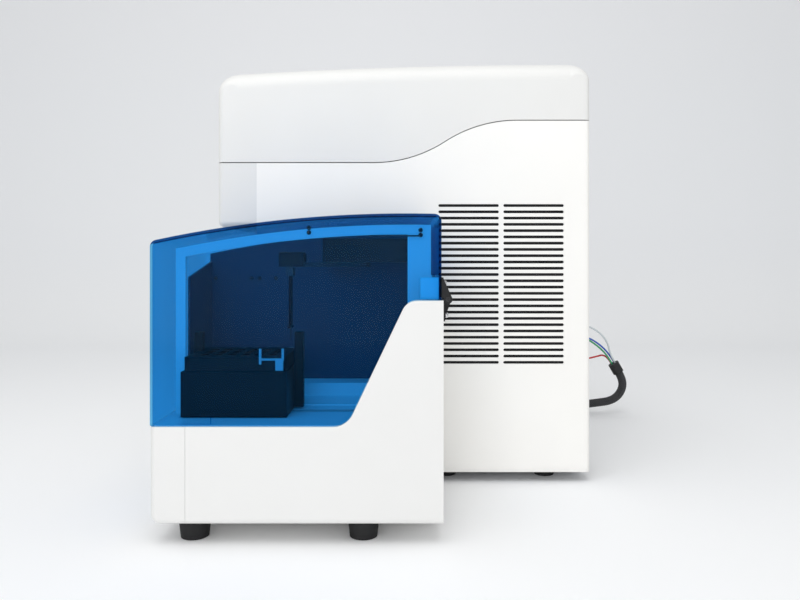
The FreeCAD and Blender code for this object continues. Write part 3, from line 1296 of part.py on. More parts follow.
def make_probe():
    """Drive housing on the back wall, swinging arm with its head and guide rods, and the lifting probe."""
    housing_left = wall_left + CHAMBER_GAP + CHAMBER_WALL
    housing_bottom = arm_top + DRIVE_HOUSING_GAP
    housing = box(housing_left, arm_pivot_x + 23, arm_pivot_y - 43, arm_pivot_y + 87, housing_bottom, DRIVE_HOUSING_TOP)
    housing = round_edges(housing, 4.0, lambda e: lies_at(e, "Z", DRIVE_HOUSING_TOP))
    bore = rod(ALONG_Z, arm_pivot_x, arm_pivot_y, housing_bottom - 1, ARM_SHAFT_RADIUS + RUNNING_CLEARANCE, 21)
    add("probe_drive", housing.cut(bore))
    half = ARM_WIDTH / 2
    head_front = needle_y - HEAD_LENGTH / 2 + 3
    head_rear = head_front + HEAD_LENGTH
    arm = box(arm_pivot_x - half, arm_pivot_x + half, head_rear, arm_pivot_y + 24, ARM_BOTTOM, arm_top)
    arm = round_edges(arm, half - 0.5, lambda e: lies_at(e, "Y", arm_pivot_y + 24)
                      and e.BoundBox.ZLength > ARM_THICKNESS - 0.1)
    shaft = rod(ALONG_Z, arm_pivot_x, arm_pivot_y, arm_top, ARM_SHAFT_RADIUS, 19)
    add("probe_arm", arm.fuse(shaft).removeSplitter())
    head = box(arm_pivot_x - HEAD_WIDTH / 2, arm_pivot_x + HEAD_WIDTH / 2, head_front, head_rear, ARM_BOTTOM, HEAD_TOP)
    head = round_edges(head, 3.0, lambda e: lies_at(e, "Z", HEAD_TOP))
    for side in (-1, 1):
        x = arm_pivot_x + side * GUIDE_ROD_SPREAD
        head = head.fuse(rod(ALONG_Z, x, needle_y, GUIDE_ROD_END, GUIDE_ROD_RADIUS, ARM_BOTTOM - GUIDE_ROD_END))
    foot = box(arm_pivot_x - GUIDE_ROD_SPREAD - 2.5, arm_pivot_x + GUIDE_ROD_SPREAD + 2.5,
               needle_y - 3, needle_y + 3, GUIDE_ROD_END - 1, GUIDE_ROD_END + 2)
    foot = foot.cut(rod(ALONG_Z, arm_pivot_x, needle_y, GUIDE_ROD_END - 2, NEEDLE_RADIUS + 0.3, 5))
    add("probe_head", head.fuse(foot).removeSplitter())
    holder_top = ARM_BOTTOM - 1.0
    holder_bottom = holder_top - HOLDER_HEIGHT
    spread = GUIDE_ROD_SPREAD + 4.0
    holder = box(arm_pivot_x - spread, arm_pivot_x + spread, needle_y - 5, needle_y + 5, holder_bottom, holder_top)
    for side in (-1, 1):
        x = arm_pivot_x + side * GUIDE_ROD_SPREAD
        holder = holder.cut(rod(ALONG_Z, x, needle_y, holder_bottom - 1, GUIDE_ROD_RADIUS + RUNNING_CLEARANCE,
                                HOLDER_HEIGHT + 2))
    needle = rod(ALONG_Z, arm_pivot_x, needle_y, NEEDLE_TIP, NEEDLE_RADIUS, holder_bottom - NEEDLE_TIP)
    add("sample_probe", holder.fuse(needle).removeSplitter())
    floor = SAMPLER_FOOT_HEIGHT + SHELL_WALL + FLOOR_THICKNESS
    wash = rod(ALONG_Z, arm_pivot_x, needle_y, floor, WASH_RADIUS, WASH_TOP - floor)
    wash = wash.cut(rod(ALONG_Z, arm_pivot_x, needle_y, NEEDLE_TIP - PROBE_TRAVEL - 6, 3.2, WASH_TOP))
    add("wash_station", wash)


# Fluid tubes and the sleeved umbilical behind the instrument
SLEEVE_RADIUS = 9.0
COLLAR_RADIUS = 12.0
COLLAR_LENGTH = 24.0
COIL_RADIUS = 110.0
COIL_TURNS = 2
COIL_CENTRE = (-529.0, 190.0)
CONNECTOR_RADIUS = 13.0
CONNECTOR_LENGTH = 46.0
BOOT_LENGTH = 20.0

collar_top = Vec(-364.0, 484.0, 116.8)
collar_run = Vec(0, 0.5, -math.sqrt(0.75))

TUBE_ROUTES = {
    "blue": [
        (-356, 311.75, 196), (-356, 340, 196), (-357, 378, 193), (-359, 412, 182), (-363, 447, 165),
        (-367.5, 475, 139.3), (-367.5, 487.03, 118.55),
    ],
    "green": [
        (-337, 311.75, 194), (-337, 342, 194), (-340, 382, 189), (-346.5, 417, 176), (-354.5, 446, 157.5),
        (-360.5, 468.97, 135.84), (-360.5, 480.97, 115.05),
    ],
    "red": [
        (-350, 311.75, 128), (-350, 340, 128), (-352, 378, 124), (-356, 412, 126), (-361, 442, 132),
        (-367.5, 467.97, 137.57), (-367.5, 480.97, 115.05),
    ],
    "clear": [
        (-330, 311.75, 216), (-330, 345, 216), (-332, 385, 214), (-338, 422, 204), (-346, 452, 186),
        (-355, 470, 162), (-360.5, 475.03, 139.34), (-360.5, 487.03, 118.55),
    ],
}

collar_end = collar_top + collar_run * COLLAR_LENGTH
SLEEVE_ROUTE = [
    tuple(collar_end), tuple(collar_end + collar_run * 19), (-364, 504.8, 58.5), (-364, 493.7, 40.7),
    (-364, 475.5, 30.2), (-364, 448, 26.6), (-366, 412, 21.5), (-371, 376, 13), (-382, 340, 10),
    (-397, 306, 14), (-410, 272, 23), (-417, 238, 27.4),
]


def cord_solid(name, points, radius):
    """A plain tube along straight runs that tangent arcs join."""
    corners = [Vec(*point) for point in points]
    edges = []
    radii = []
    here = corners[0]
    for before, corner, after in zip(corners, corners[1:], corners[2:]):
        back = before - corner
        ahead = after - corner
        half_turn = (math.pi - back.getAngle(ahead)) / 2
        reach = 0.45 * min(back.Length, ahead.Length)
        bend = reach / math.tan(half_turn)
        back.normalize()
        ahead.normalize()
        centre = corner + (back + ahead).normalize() * math.hypot(reach, bend)
        middle = centre + (corner - centre).normalize() * bend
        start = corner + back * reach
        end = corner + ahead * reach
        edges.append(Part.LineSegment(here, start).toShape())
        edges.append(Part.Arc(start, middle, end).toShape())
        radii.append(bend)
        here = end
    edges.append(Part.LineSegment(here, corners[-1]).toShape())
    path = Part.Wire(edges)
    ring = Part.Wire(Part.Circle(corners[0], corners[1] - corners[0], radius).toShape())
    solid = path.makePipeShell([ring], True, False)
    section = math.pi * radius ** 2
    print(name, "length", round(path.Length), "volume share", round(solid.Volume / (section * path.Length), 4),
          "radii", [round(bend) for bend in radii])
    return solid


def make_cords():
    """Four fluid tubes into a collar, the sleeve, its coil beside the body, and the connector."""
    for colour, route in TUBE_ROUTES.items():
        add("tube_" + colour, cord_solid(colour, route, TUBE_RADIUS))
    collar = Part.makeCylinder(COLLAR_RADIUS, COLLAR_LENGTH, collar_top, collar_run)
    add("umbilical_collar", collar)
    x, y = COIL_CENTRE
    height = 2 * SLEEVE_RADIUS * COIL_TURNS
    outer = COIL_RADIUS + SLEEVE_RADIUS
    coil = tube(ALONG_Z, x, y, 0, outer, COIL_RADIUS - SLEEVE_RADIUS, height)
    coil = round_edges(coil, SLEEVE_RADIUS - 2, lambda e: lies_at(e, "Z", 0) or lies_at(e, "Z", height))
    add("umbilical_coil", coil)
    add("umbilical_sleeve", cord_solid("sleeve", SLEEVE_ROUTE, SLEEVE_RADIUS).cut(coil))
    leave_x = x + COIL_RADIUS
    leave_y = y - math.sqrt(outer ** 2 - COIL_RADIUS ** 2) + 3
    centre_z = CONNECTOR_RADIUS
    boot = Part.makeCone(CONNECTOR_RADIUS - 1, SLEEVE_RADIUS + 0.5, BOOT_LENGTH,
                         Vec(leave_x, leave_y - BOOT_LENGTH, centre_z), ALONG_Y)
    body_end = leave_y - BOOT_LENGTH
    body = rod(ALONG_Y, leave_x, body_end - CONNECTOR_LENGTH, centre_z, CONNECTOR_RADIUS, CONNECTOR_LENGTH)
    socket = rod(ALONG_Y, leave_x, body_end - CONNECTOR_LENGTH - 1, centre_z, CONNECTOR_RADIUS - 2, 4)
    connector = boot.fuse(body).cut(socket).cut(coil)
    add("umbilical_connector", connector.removeSplitter())


def build():
    """Makes every piece and writes one file for each node."""
    ring = body_ring()
    make_feet()
    make_base_tray()
    make_side_panels(ring)
    make_vent_filter()
    make_rear_panel(ring)
    make_fittings()
    make_lower_front()
    make_button(make_fascia())
    make_inner_frame()
    make_fan()
    make_inlet()
    add("lid", make_lid())
    make_hinges()
    make_bench()
    make_lasers()
    make_optics()
    make_flow_cell()
    make_detectors()
    make_fluidics()
    make_syringe_pump()
    make_electronics()
    make_housing()
    make_cover()
    make_chamber()
    make_rack()
    make_carrier_drive()
    make_probe()
    make_cords()
    os.makedirs("parts", exist_ok=True)
    for name, solid in parts.items():
        solid.exportStep("parts/" + name + ".step")


if __name__ == "__main__":
    build()
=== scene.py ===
"""Dresses the bench-top flow cytometer and its tube sampler: finishes, cords, small hardware and the stage."""

import math

import bpy
import numpy as np
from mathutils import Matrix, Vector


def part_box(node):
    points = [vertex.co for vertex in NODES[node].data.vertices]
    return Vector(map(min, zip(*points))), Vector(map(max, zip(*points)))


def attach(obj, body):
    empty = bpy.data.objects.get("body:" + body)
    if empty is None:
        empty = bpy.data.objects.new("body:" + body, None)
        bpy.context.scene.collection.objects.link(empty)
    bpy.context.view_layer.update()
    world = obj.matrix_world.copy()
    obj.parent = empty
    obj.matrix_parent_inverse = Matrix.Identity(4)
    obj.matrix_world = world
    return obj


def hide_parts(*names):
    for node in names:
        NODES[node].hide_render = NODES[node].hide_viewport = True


bl_info = {
    "name": "Flow Cytometer Dressing",
    "version": (1, 0, 0),
    "blender": (4, 5, 0),
    "location": "3D View > Sidebar > Cytometer",
    "description": "Finishes, tubing, hardware and stage for a bench-top flow cytometer",
    "category": "Object",
}

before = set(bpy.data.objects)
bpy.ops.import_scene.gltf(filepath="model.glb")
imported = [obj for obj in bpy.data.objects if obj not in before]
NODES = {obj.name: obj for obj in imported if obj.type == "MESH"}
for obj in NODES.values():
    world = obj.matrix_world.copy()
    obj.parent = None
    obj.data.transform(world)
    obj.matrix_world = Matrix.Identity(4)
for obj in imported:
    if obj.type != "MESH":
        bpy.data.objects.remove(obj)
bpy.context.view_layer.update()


def edges_of(node):
    """Lowest and highest corner of a CAD node as two plain tuples, in metres."""
    low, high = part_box(node)
    return tuple(low), tuple(high)


# Shader building


class Value:
    """One output socket; arithmetic on it adds Math nodes, and plain numbers stay numbers."""

    def __init__(self, maker, socket):
        self.maker = maker
        self.socket = socket

    def _math(self, operation, first, second=None):
        values = [first] if second is None else [first, second]
        return self.maker.node("ShaderNodeMath", {"operation": operation}, values)

    def __add__(self, other):
        return self._math("ADD", self, other)

    def __radd__(self, other):
        return self._math("ADD", other, self)

    def __sub__(self, other):
        return self._math("SUBTRACT", self, other)

    def __rsub__(self, other):
        return self._math("SUBTRACT", other, self)

    def __mul__(self, other):
        return self._math("MULTIPLY", self, other)

    def __rmul__(self, other):
        return self._math("MULTIPLY", other, self)

    def power(self, exponent):
        return self._math("POWER", self, exponent)

    def absolute(self):
        return self._math("ABSOLUTE", self)

    def sine(self):
        return self._math("SINE", self)

    def above(self, limit):
        return self._math("GREATER_THAN", self, limit)

    def most(self, other):
        return self._math("MAXIMUM", self, other)

    def ramp(self, low, high):
        """0 at low, 1 at high, smooth between and flat outside."""
        settings = {"interpolation_type": "SMOOTHSTEP", "clamp": True}
        return self.maker.node("ShaderNodeMapRange", settings, {"Value": self, "From Min": low, "From Max": high})


class Finish:
    """A procedural material: makes nodes, links them and ends in one surface shader."""

    def __init__(self, name):
        self.material = bpy.data.materials.new(name)
        self.material.use_nodes = True
        self.tree = self.material.node_tree
        self.tree.nodes.clear()
        self.output = self.tree.nodes.new("ShaderNodeOutputMaterial")
        self._place = None

    def node(self, kind, settings=None, values=(), out=0):
        """Adds one node: its settings first, then the values or links of its sockets; returns one output."""
        made = self.tree.nodes.new(kind)
        for key, setting in (settings or {}).items():
            setattr(made, key, setting)
        pairs = values.items() if isinstance(values, dict) else enumerate(values)
        for key, value in pairs:
            socket = made.inputs[key]
            if isinstance(value, Value):
                self.tree.links.new(value.socket, socket)
            elif isinstance(value, (tuple, list)) and len(value) == 3 and socket.type == "RGBA":
                socket.default_value = (*value, 1.0)
            else:
                socket.default_value = value
        return Value(self, made.outputs[out])

    def place(self):
        """Object coordinates, which are the row frame in metres."""
        if self._place is None:
            self._place = self.node("ShaderNodeTexCoord", out="Object")
        return self._place

    def part(self, axis):
        """One of the X, Y or Z coordinates."""
        return self.node("ShaderNodeSeparateXYZ", values=[self.place()], out="XYZ".index(axis))

    def moved(self, offset=(0, 0, 0), scale=(1, 1, 1)):
        return self.node("ShaderNodeMapping", values={
            "Vector": self.place(), "Location": offset, "Scale": scale,
        })

    def noise(self, scale, detail=2.0, vector=None):
        values = {"Vector": vector or self.place(), "Scale": scale, "Detail": detail}
        return self.node("ShaderNodeTexNoise", values=values, out="Fac")

    def mix(self, amount, first, second):
        """A colour between two colours."""
        return self.node("ShaderNodeMix", {"data_type": "RGBA"}, {0: amount, 6: first, 7: second}, out=2)

    def bump(self, height, strength, distance):
        return self.node("ShaderNodeBump", values={"Height": height, "Strength": strength, "Distance": distance})

    def surface(self, shader):
        self.tree.links.new(shader.socket, self.output.inputs["Surface"])
        return self.material

    def principled(self, **values):
        names = {key.replace("_", " ").title().replace("Ior", "IOR"): value for key, value in values.items()}
        return self.node("ShaderNodeBsdfPrincipled", values=names)


def moulded(name, colour, grain=900.0, rough=0.42, depth=0.00005, coat=0.0, blotch=0.03, dust=None, gleam=0.5):
    """Moulded or coated skin: fine grain in the bump, faint cloudy colour, and dust or scuffs low down."""
    skin = Finish(name)
    clouds = skin.noise(7.0, 3.0)
    fine = skin.noise(grain, 2.0)
    pale = tuple(min(1.0, c * (1 + blotch)) for c in colour)
    deep = tuple(c * (1 - blotch) for c in colour)
    tone = skin.mix(clouds, deep, pale)
    if dust is not None:
        height, shade = dust
        low = 1 - skin.part("Z").ramp(0.0, height)
        tone = skin.mix(low * skin.noise(45.0, 4.0) * 0.6, tone, shade)
    shine = rough - 0.06 + skin.noise(24.0, 3.0) * 0.12
    shader = skin.principled(
        base_color=tone, roughness=shine, coat_weight=coat, coat_roughness=0.15, specular_ior_level=gleam,
        normal=skin.bump(fine, 0.35, depth),
    )
    return skin.surface(shader)


def drawn_metal(name, colour, along="X", rough=0.32, depth=0.00004, metallic=1.0):
    """Rolled, milled or ground metal: long fine lines one way, which vary roughness and bump."""
    metal = Finish(name)
    stretch = [1500.0, 1500.0, 1500.0]
    stretch["XYZ".index(along)] = 18.0
    lines = metal.noise(1.0, 2.0, metal.moved(scale=tuple(stretch)))
    stains = metal.noise(14.0, 4.0)
    tone = metal.mix(stains, tuple(c * 0.88 for c in colour), colour)
    shader = metal.principled(
        base_color=tone, metallic=metallic, roughness=rough - 0.08 + lines * 0.16,
        normal=metal.bump(lines, 0.3, depth),
    )
    return metal.surface(shader)


def plated_sheet(name, colour):
    """Zinc-plated sheet with its pale spangle."""
    sheet = Finish(name)
    spangle = sheet.node("ShaderNodeTexVoronoi", values={"Vector": sheet.place(), "Scale": 120.0}, out="Distance")
    tone = sheet.mix(spangle, tuple(c * 0.8 for c in colour), colour)
    shader = sheet.principled(base_color=tone, metallic=0.85, roughness=0.36 + spangle * 0.12)
    return sheet.surface(shader)


def rubbery(name, colour, grain=700.0, dusty=0.25):
    """Dull rubber with a fine tooth and dust on what faces up."""
    skin = Finish(name)
    up = skin.node("ShaderNodeSeparateXYZ", values=[skin.node("ShaderNodeNewGeometry", out="Normal")], out=2)
    dust = up.ramp(0.2, 1.0) * skin.noise(60.0, 4.0) * dusty
    tone = skin.mix(dust, colour, (0.30, 0.29, 0.28))
    shader = skin.principled(base_color=tone, roughness=0.62 + skin.noise(30.0) * 0.2,
                             normal=skin.bump(skin.noise(grain, 2.0), 0.4, 0.00008))
    return skin.surface(shader)


def open_foam(name, colour):
    """Open-cell dust filter: paler ligaments, with the cells between them painted dark as painted shade in the pores.
    """
    foam = Finish(name)
    cells = foam.node("ShaderNodeTexVoronoi", {"feature": "DISTANCE_TO_EDGE"},
                      {"Vector": foam.place(), "Scale": 650.0}, out="Distance")
    wall = 1 - cells.ramp(0.02, 0.16)
    # Painted shade: the pores between the ligaments are painted at a third of the colour
    tone = foam.mix(wall, tuple(c * 0.3 for c in colour), colour)
    shader = foam.principled(base_color=tone, roughness=0.95, normal=foam.bump(wall, 0.8, 0.0004))
    return foam.surface(shader)


def tubing(name, colour):
    """Smooth flexible tubing with faint cloudy drawing lines along it."""
    wall = Finish(name)
    along = wall.node("ShaderNodeTexCoord", out="UV")
    streak = wall.noise(6.0, 2.0, wall.node("ShaderNodeMapping", values={"Vector": along, "Scale": (0.6, 9.0, 1.0)}))
    tone = wall.mix(streak, tuple(c * 0.75 for c in colour), colour)
    shader = wall.principled(base_color=tone, roughness=0.2 + streak * 0.15, coat_weight=0.4, ior=1.43)
    return wall.surface(shader)


def braided(name, colour):
    """Braided sleeve: two families of strands that wind opposite ways and pass over and under each other, with
    painted shade on the strands passing under and painted highlight on those passing over.
    """
    sleeve = Finish(name)
    uv = sleeve.node("ShaderNodeTexCoord", out="UV")
    along = sleeve.node("ShaderNodeSeparateXYZ", values=[uv], out=0)
    around = sleeve.node("ShaderNodeSeparateXYZ", values=[uv], out=1)
    turns = 12.0
    rising = ((along + around) * (turns * 2 * math.pi)).sine()
    falling = ((along - around) * (turns * 2 * math.pi)).sine()
    weave = rising.most(falling)
    over = weave.ramp(-0.4, 1.0)
    # Painted shade and painted highlight: strands passing under are painted at about a third of the colour, and
    # strands passing over at about twice it
    tone = sleeve.mix(over, tuple(c * 0.35 for c in colour), tuple(min(1.0, c * 2.2) for c in colour))
    shader = sleeve.principled(base_color=tone, roughness=0.5 + over * 0.15,
                               normal=sleeve.bump(over, 0.7, 0.0006))
    return sleeve.surface(shader)


def circuit_board(name):
    """Green board: solder-masked tracks on the plate and dark packages standing on it."""
    board = Finish(name)
    low = edges_of("control_board")[0]
    tracks = board.node("ShaderNodeTexBrick", {"offset": 0.37}, {
        "Vector": board.place(), "Color1": (0.03, 0.20, 0.09), "Color2": (0.02, 0.15, 0.07),
        "Mortar": (0.10, 0.36, 0.18), "Scale": 160.0, "Mortar Size": 0.045,
    }, out="Color")
    plate_top = low[2] + 0.0125
    package = board.part("Z").above(plate_top)
    tone = board.mix(package, tracks, (0.02, 0.02, 0.022))
    shader = board.principled(base_color=tone, roughness=0.4 + board.noise(90.0) * 0.1, coat_weight=0.2)
    return board.surface(shader)


def clear_glass(name):
    """Polished optical glass."""
    glass = Finish(name)
    smear = glass.noise(120.0, 2.0)
    return glass.surface(glass.principled(
        base_color=(0.93, 0.97, 0.98), roughness=0.02 + smear * 0.03, transmission_weight=0.95, ior=1.46,
    ))


def arc_centre(*points):
    """Centre and radius of the circle through three (Y, Z) points, where the midlines of two chords cross."""
    points = np.array(points)
    chords = np.diff(points, axis=0)
    middles = (points[1:] + points[:-1]) / 2
    centre = np.linalg.solve(chords, (chords * middles).sum(1))
    return centre, float(np.hypot(*(centre - points[0])))


# The cover's roof line: distance back from the cover's front and height of three of its points, in metres
ROOF_POINTS = ((0.007, 0.373), (0.180, 0.3993), (0.350, 0.405))
# Where the painted dark band ends (painted shade for the light lost along the roof's and the rear wall's thickness):
# depth under the skin, roof and rear
ROOF_PAINTED_BAND = 0.0042
REAR_PAINTED_BAND = 0.0032
PAINTED_BAND_BLUR = 0.001
# Share of gloss on a wall seen square on, and what a glancing view adds
GLOSS_BASE = 0.024
GLOSS_RISE = 0.35


def clear_cover(name, look):
    """Clear tinted moulding: what is behind shows through a plain tint, deeper where a wall is seen edge on. A
    painted dark band, placed by object coordinates, stands in for the light lost along the roof's and the rear wall's
    own thickness.
    The gloss share is a base plus (1 - cosine of the viewing angle) to the fifth power, alike on both faces."""
    pane = Finish(name)
    facing = pane.node("ShaderNodeLayerWeight", values={"Blend": 0.5}, out="Facing")
    low, high = edges_of("sampler_cover")
    centre, reach = arc_centre(*((low[1] + back, height) for back, height in ROOF_POINTS))
    from_centre = pane.moved(offset=(0, -centre[0], -centre[1]), scale=(0, 1, 1))
    # Painted shade: a dark band set by object coordinates, just under the roof's arc and inside the rear face, on
    # walls that face sideways
    roof_painted_band = pane.node("ShaderNodeVectorMath", {"operation": "LENGTH"}, [from_centre], out="Value").ramp(
        reach - ROOF_PAINTED_BAND - PAINTED_BAND_BLUR, reach - ROOF_PAINTED_BAND)
    rear_painted_band = pane.part("Y").ramp(high[1] - REAR_PAINTED_BAND - PAINTED_BAND_BLUR, high[1] - REAR_PAINTED_BAND)
    outward = pane.node("ShaderNodeNewGeometry", out="Normal")
    side = pane.node("ShaderNodeSeparateXYZ", values=[outward], out=0).absolute().ramp(0.2, 0.45)
    edge_on_and_painted_band = facing.ramp(0.90, 0.99).most(roof_painted_band.most(rear_painted_band) * side)
    see = pane.node("ShaderNodeBsdfTransparent", values={"Color": tuple(look.tint)})
    see_edge_and_painted_band = pane.node("ShaderNodeBsdfTransparent", values={"Color": tuple(look.edge_and_painted_band_tint)})
    through = pane.node("ShaderNodeMixShader", values=[edge_on_and_painted_band, see, see_edge_and_painted_band])
    haze = pane.noise(300.0, 2.0)
    gloss = pane.principled(base_color=tuple(look.body_colour), roughness=0.04 + haze * 0.04, coat_weight=0.5,
                            ior=1.49)
    share = facing.power(5.0) * GLOSS_RISE + (GLOSS_BASE + look.body)
    return pane.surface(pane.node("ShaderNodeMixShader", values=[share, through, gloss]))


def dress(material, *nodes):
    """Gives CAD nodes a material of the scene's own."""
    for name in nodes:
        slots = NODES[name].material_slots
        if not len(slots):
            NODES[name].data.materials.append(material)
        for slot in slots:
            slot.material = material


def shown(name, mesh, material, body):
    """Puts a finished mesh into the scene at the origin, riding on a body."""
    piece = bpy.data.objects.new(name, mesh)
    bpy.context.scene.collection.objects.link(piece)
    mesh.materials.append(material)
    mesh.shade_smooth()
    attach(piece, body)
    return piece


# Meshes worked out as arrays


def grid_mesh(name, points, wrap=False, uv=None):
    """A mesh of quads over an array of points (rows, columns, 3), whose rows may close on themselves."""
    rows, columns = points.shape[:2]
    index = np.arange(rows * columns).reshape(rows, columns)
    here, down = index[:-1], index[1:]
    quads = np.stack([here, np.roll(here, -1, 1), np.roll(down, -1, 1), down], -1)
    if not wrap:
        quads = quads[:, :-1]
    mesh = bpy.data.meshes.new(name)
    mesh.from_pydata(points.reshape(-1, 3), [], quads.reshape(-1, 4))
    if uv is not None:
        layer = mesh.uv_layers.new(name="UVMap")
        order = np.zeros(len(mesh.loops), np.int64)
        mesh.loops.foreach_get("vertex_index", order)
        spread = uv.reshape(-1, 2)[order]
        layer.data.foreach_set("uv", spread.astype(np.float32).ravel())
    return mesh


def carried(line, radius, sides):
    """A tube round a line: the section's two axes start square to the line and turn with it as little as they can.
    Returns the grid of points and its UV, in turns of the section along the line and round it."""
    step = np.gradient(line, axis=0)
    tangent = step / np.linalg.norm(step, axis=1, keepdims=True)
    side = np.zeros_like(line)
    first = np.cross(tangent[0], [0.3, 0.2, 0.93])
    side[0] = first / np.linalg.norm(first)
    for k in range(1, len(line)):
        flat = side[k - 1] - tangent[k] * (side[k - 1] @ tangent[k])
        side[k] = flat / np.linalg.norm(flat)
    up = np.cross(tangent, side)
    angle = np.linspace(0, 2 * np.pi, sides, endpoint=False)
    ring = np.cos(angle)[None, :, None] * side[:, None] + np.sin(angle)[None, :, None] * up[:, None]
    radius = np.broadcast_to(radius, len(line))
    points = line[:, None] + ring * radius[:, None, None]
    run = np.concatenate([[0], np.cumsum(np.linalg.norm(np.diff(line, axis=0), axis=1))])
    along = np.broadcast_to(run[:, None] / (2 * np.pi * radius.mean()), points.shape[:2])
    around = np.broadcast_to(angle[None] / (2 * np.pi), points.shape[:2])
    return points, np.stack([along, around], -1)


def tube_mesh(name, line, radius, sides):
    """A tube along a line, its ends drawn in to closed round caps."""
    points, uv = carried(line, radius, sides)
    first, last = (np.broadcast_to(end, points[:1].shape) for end in (line[0], line[-1]))
    points = np.concatenate([first, points, last])
    uv = np.concatenate([uv[:1], uv, uv[-1:]])
    return grid_mesh(name, points, wrap=True, uv=uv)


def spline_line(name, route, resolution=8):
    """Points of the smooth NURBS curve whose control points are the route's."""
    curve = bpy.data.curves.new(name, "CURVE")
    curve.dimensions = "3D"
    curve.resolution_u = resolution
    spline = curve.splines.new("NURBS")
    spline.points.add(len(route) - 1)
    spline.points.foreach_set("co", np.c_[np.asarray(route, float), np.ones(len(route))].ravel())
    spline.order_u = 3
    spline.use_endpoint_u = True
    holder = bpy.data.objects.new(name, curve)
    read = bpy.data.meshes.new_from_object(holder)
    line = np.zeros(len(read.vertices) * 3)
    read.vertices.foreach_get("co", line)
    bpy.data.objects.remove(holder)
    bpy.data.curves.remove(curve)
    bpy.data.meshes.remove(read)
    return line.reshape(-1, 3)


def studs(name, profile, centres, axis, sides=18, hexagon=()):
    """Alike small turned pieces in one mesh. Each is the profile carried once round its own axis; the rows named
    in hexagon take a six-sided outline, whose radius is r * cos(30 deg) / cos(a folded into one side)."""
    profile = np.asarray(profile, float)
    axis = np.asarray(axis, float) / np.linalg.norm(axis)
    helper = np.array([0.0, 0.0, 1.0]) if abs(axis[2]) < 0.9 else np.array([1.0, 0.0, 0.0])
    side = np.cross(helper, axis)
    side /= np.linalg.norm(side)
    up = np.cross(axis, side)
    angle = np.linspace(0, 2 * np.pi, sides, endpoint=False)
    ring = np.cos(angle)[:, None] * side + np.sin(angle)[:, None] * up
    folded = np.mod(angle, np.pi / 3) - np.pi / 6
    shape = np.ones((len(profile), sides))
    shape[list(hexagon)] = np.cos(np.pi / 6) / np.cos(folded)
    one = profile[:, None, :1] * axis + profile[:, None, 1:] * shape[..., None] * ring
    centres = np.asarray(centres, float)
    points = centres[:, None, None] + one[None]
    count, rows = len(centres), len(profile)
    index = np.arange(count * rows * sides).reshape(count, rows, sides)
    quads = np.stack([index[:, :-1], np.roll(index, -1, 2)[:, :-1], np.roll(index, -1, 2)[:, 1:], index[:, 1:]], -1)
    mesh = bpy.data.meshes.new(name)
    mesh.from_pydata(points.reshape(-1, 3), [], quads.reshape(-1, 4))
    return mesh


def cap_screw(radius, height):
    """Profile of a domed screw head with a hexagon socket, from the seat out; returns it and its six-sided rows."""
    rim = radius * 0.99
    return [
        (0.0, 0.0), (0.0, rim), (height * 0.45, radius), (height * 0.85, radius * 0.86), (height, radius * 0.6),
        (height, radius * 0.44), (height * 0.35, radius * 0.42), (height * 0.3, 0.0),
    ], (5, 6)


# Settings that a user would change


class ShellLook(bpy.types.PropertyGroup):
    """Colours of the housings."""

    lid_colour: bpy.props.FloatVectorProperty(
        name="Lid", description="Warm white of the moulded lid and fascia", subtype="COLOR", size=3, min=0, max=1,
        default=(0.76, 0.755, 0.735))
    panel_colour: bpy.props.FloatVectorProperty(
        name="Panels", description="White of the coated side panels", subtype="COLOR", size=3, min=0, max=1,
        default=(0.90, 0.885, 0.85))
    sampler_colour: bpy.props.FloatVectorProperty(
        name="Sampler", description="White of the sampler's housing", subtype="COLOR", size=3, min=0, max=1,
        default=(0.74, 0.735, 0.72))
    deck_colour: bpy.props.FloatVectorProperty(
        name="Deck", description="White of the deck and window frame", subtype="COLOR", size=3, min=0, max=1,
        default=(0.88, 0.89, 0.90))


class CoverLook(bpy.types.PropertyGroup):
    """The clear blue cover."""

    tint: bpy.props.FloatVectorProperty(
        name="Tint", description="What one wall lets through", subtype="COLOR", size=3, min=0, max=1,
        default=(0.375, 0.735, 0.945))
    # Also the tint of the painted dark band (painted shade) along the roof and the rear wall
    edge_and_painted_band_tint: bpy.props.FloatVectorProperty(
        name="Edge tint", description="What a wall seen edge on lets through", subtype="COLOR", size=3, min=0,
        max=1, default=(0.03, 0.13, 0.36))
    body_colour: bpy.props.FloatVectorProperty(
        name="Body colour", description="Colour of the light that the wall itself sends back", subtype="COLOR",
        size=3, min=0, max=1, default=(0.004, 0.05, 0.11))
    body: bpy.props.FloatProperty(
        name="Body share", description="Share of the wall's own colour over what it lets through",
        subtype="FACTOR", default=0.012, min=0, max=1)


class CordSizes(bpy.types.PropertyGroup):
    """Thickness of the tubes and of the sleeved umbilical."""

    tube_radius: bpy.props.FloatProperty(
        name="Tube radius", description="Outer radius of a fluid tube", unit="LENGTH", default=0.002, min=0.0005)
    sleeve_radius: bpy.props.FloatProperty(
        name="Sleeve radius", description="Outer radius of the braided umbilical", unit="LENGTH", default=0.009,
        min=0.002)


class StageLook(bpy.types.PropertyGroup):
    """Camera, floor and light."""

    camera_distance: bpy.props.FloatProperty(
        name="Camera place", description="Camera's place along the row's X axis", unit="LENGTH", default=1.236)
    camera_height: bpy.props.FloatProperty(
        name="Camera height", description="Camera's height over the bench", unit="LENGTH", default=0.342)
    camera_side: bpy.props.FloatProperty(
        name="Camera side", description="Camera's place along the row's Y axis", unit="LENGTH", default=-0.00485)
    lens: bpy.props.FloatProperty(
        name="Lens", description="Focal length in millimetres on a 36 mm sensor", default=31.4, min=5)
    shift: bpy.props.FloatProperty(
        name="Shift", description="Vertical lens shift that frames the photograph", default=-0.04375)
    key_power: bpy.props.FloatProperty(
        name="Key light", description="Power of the big soft light over the front", unit="POWER", default=19.0)
    fill_power: bpy.props.FloatProperty(
        name="Fill light", description="Power of the soft light beside the camera", unit="POWER", default=19.0)
    sky: bpy.props.FloatProperty(
        name="Room light", description="Strength of the even light of the room", default=0.62, min=0)


# Routes of the cords in millimetres, as in the part's source

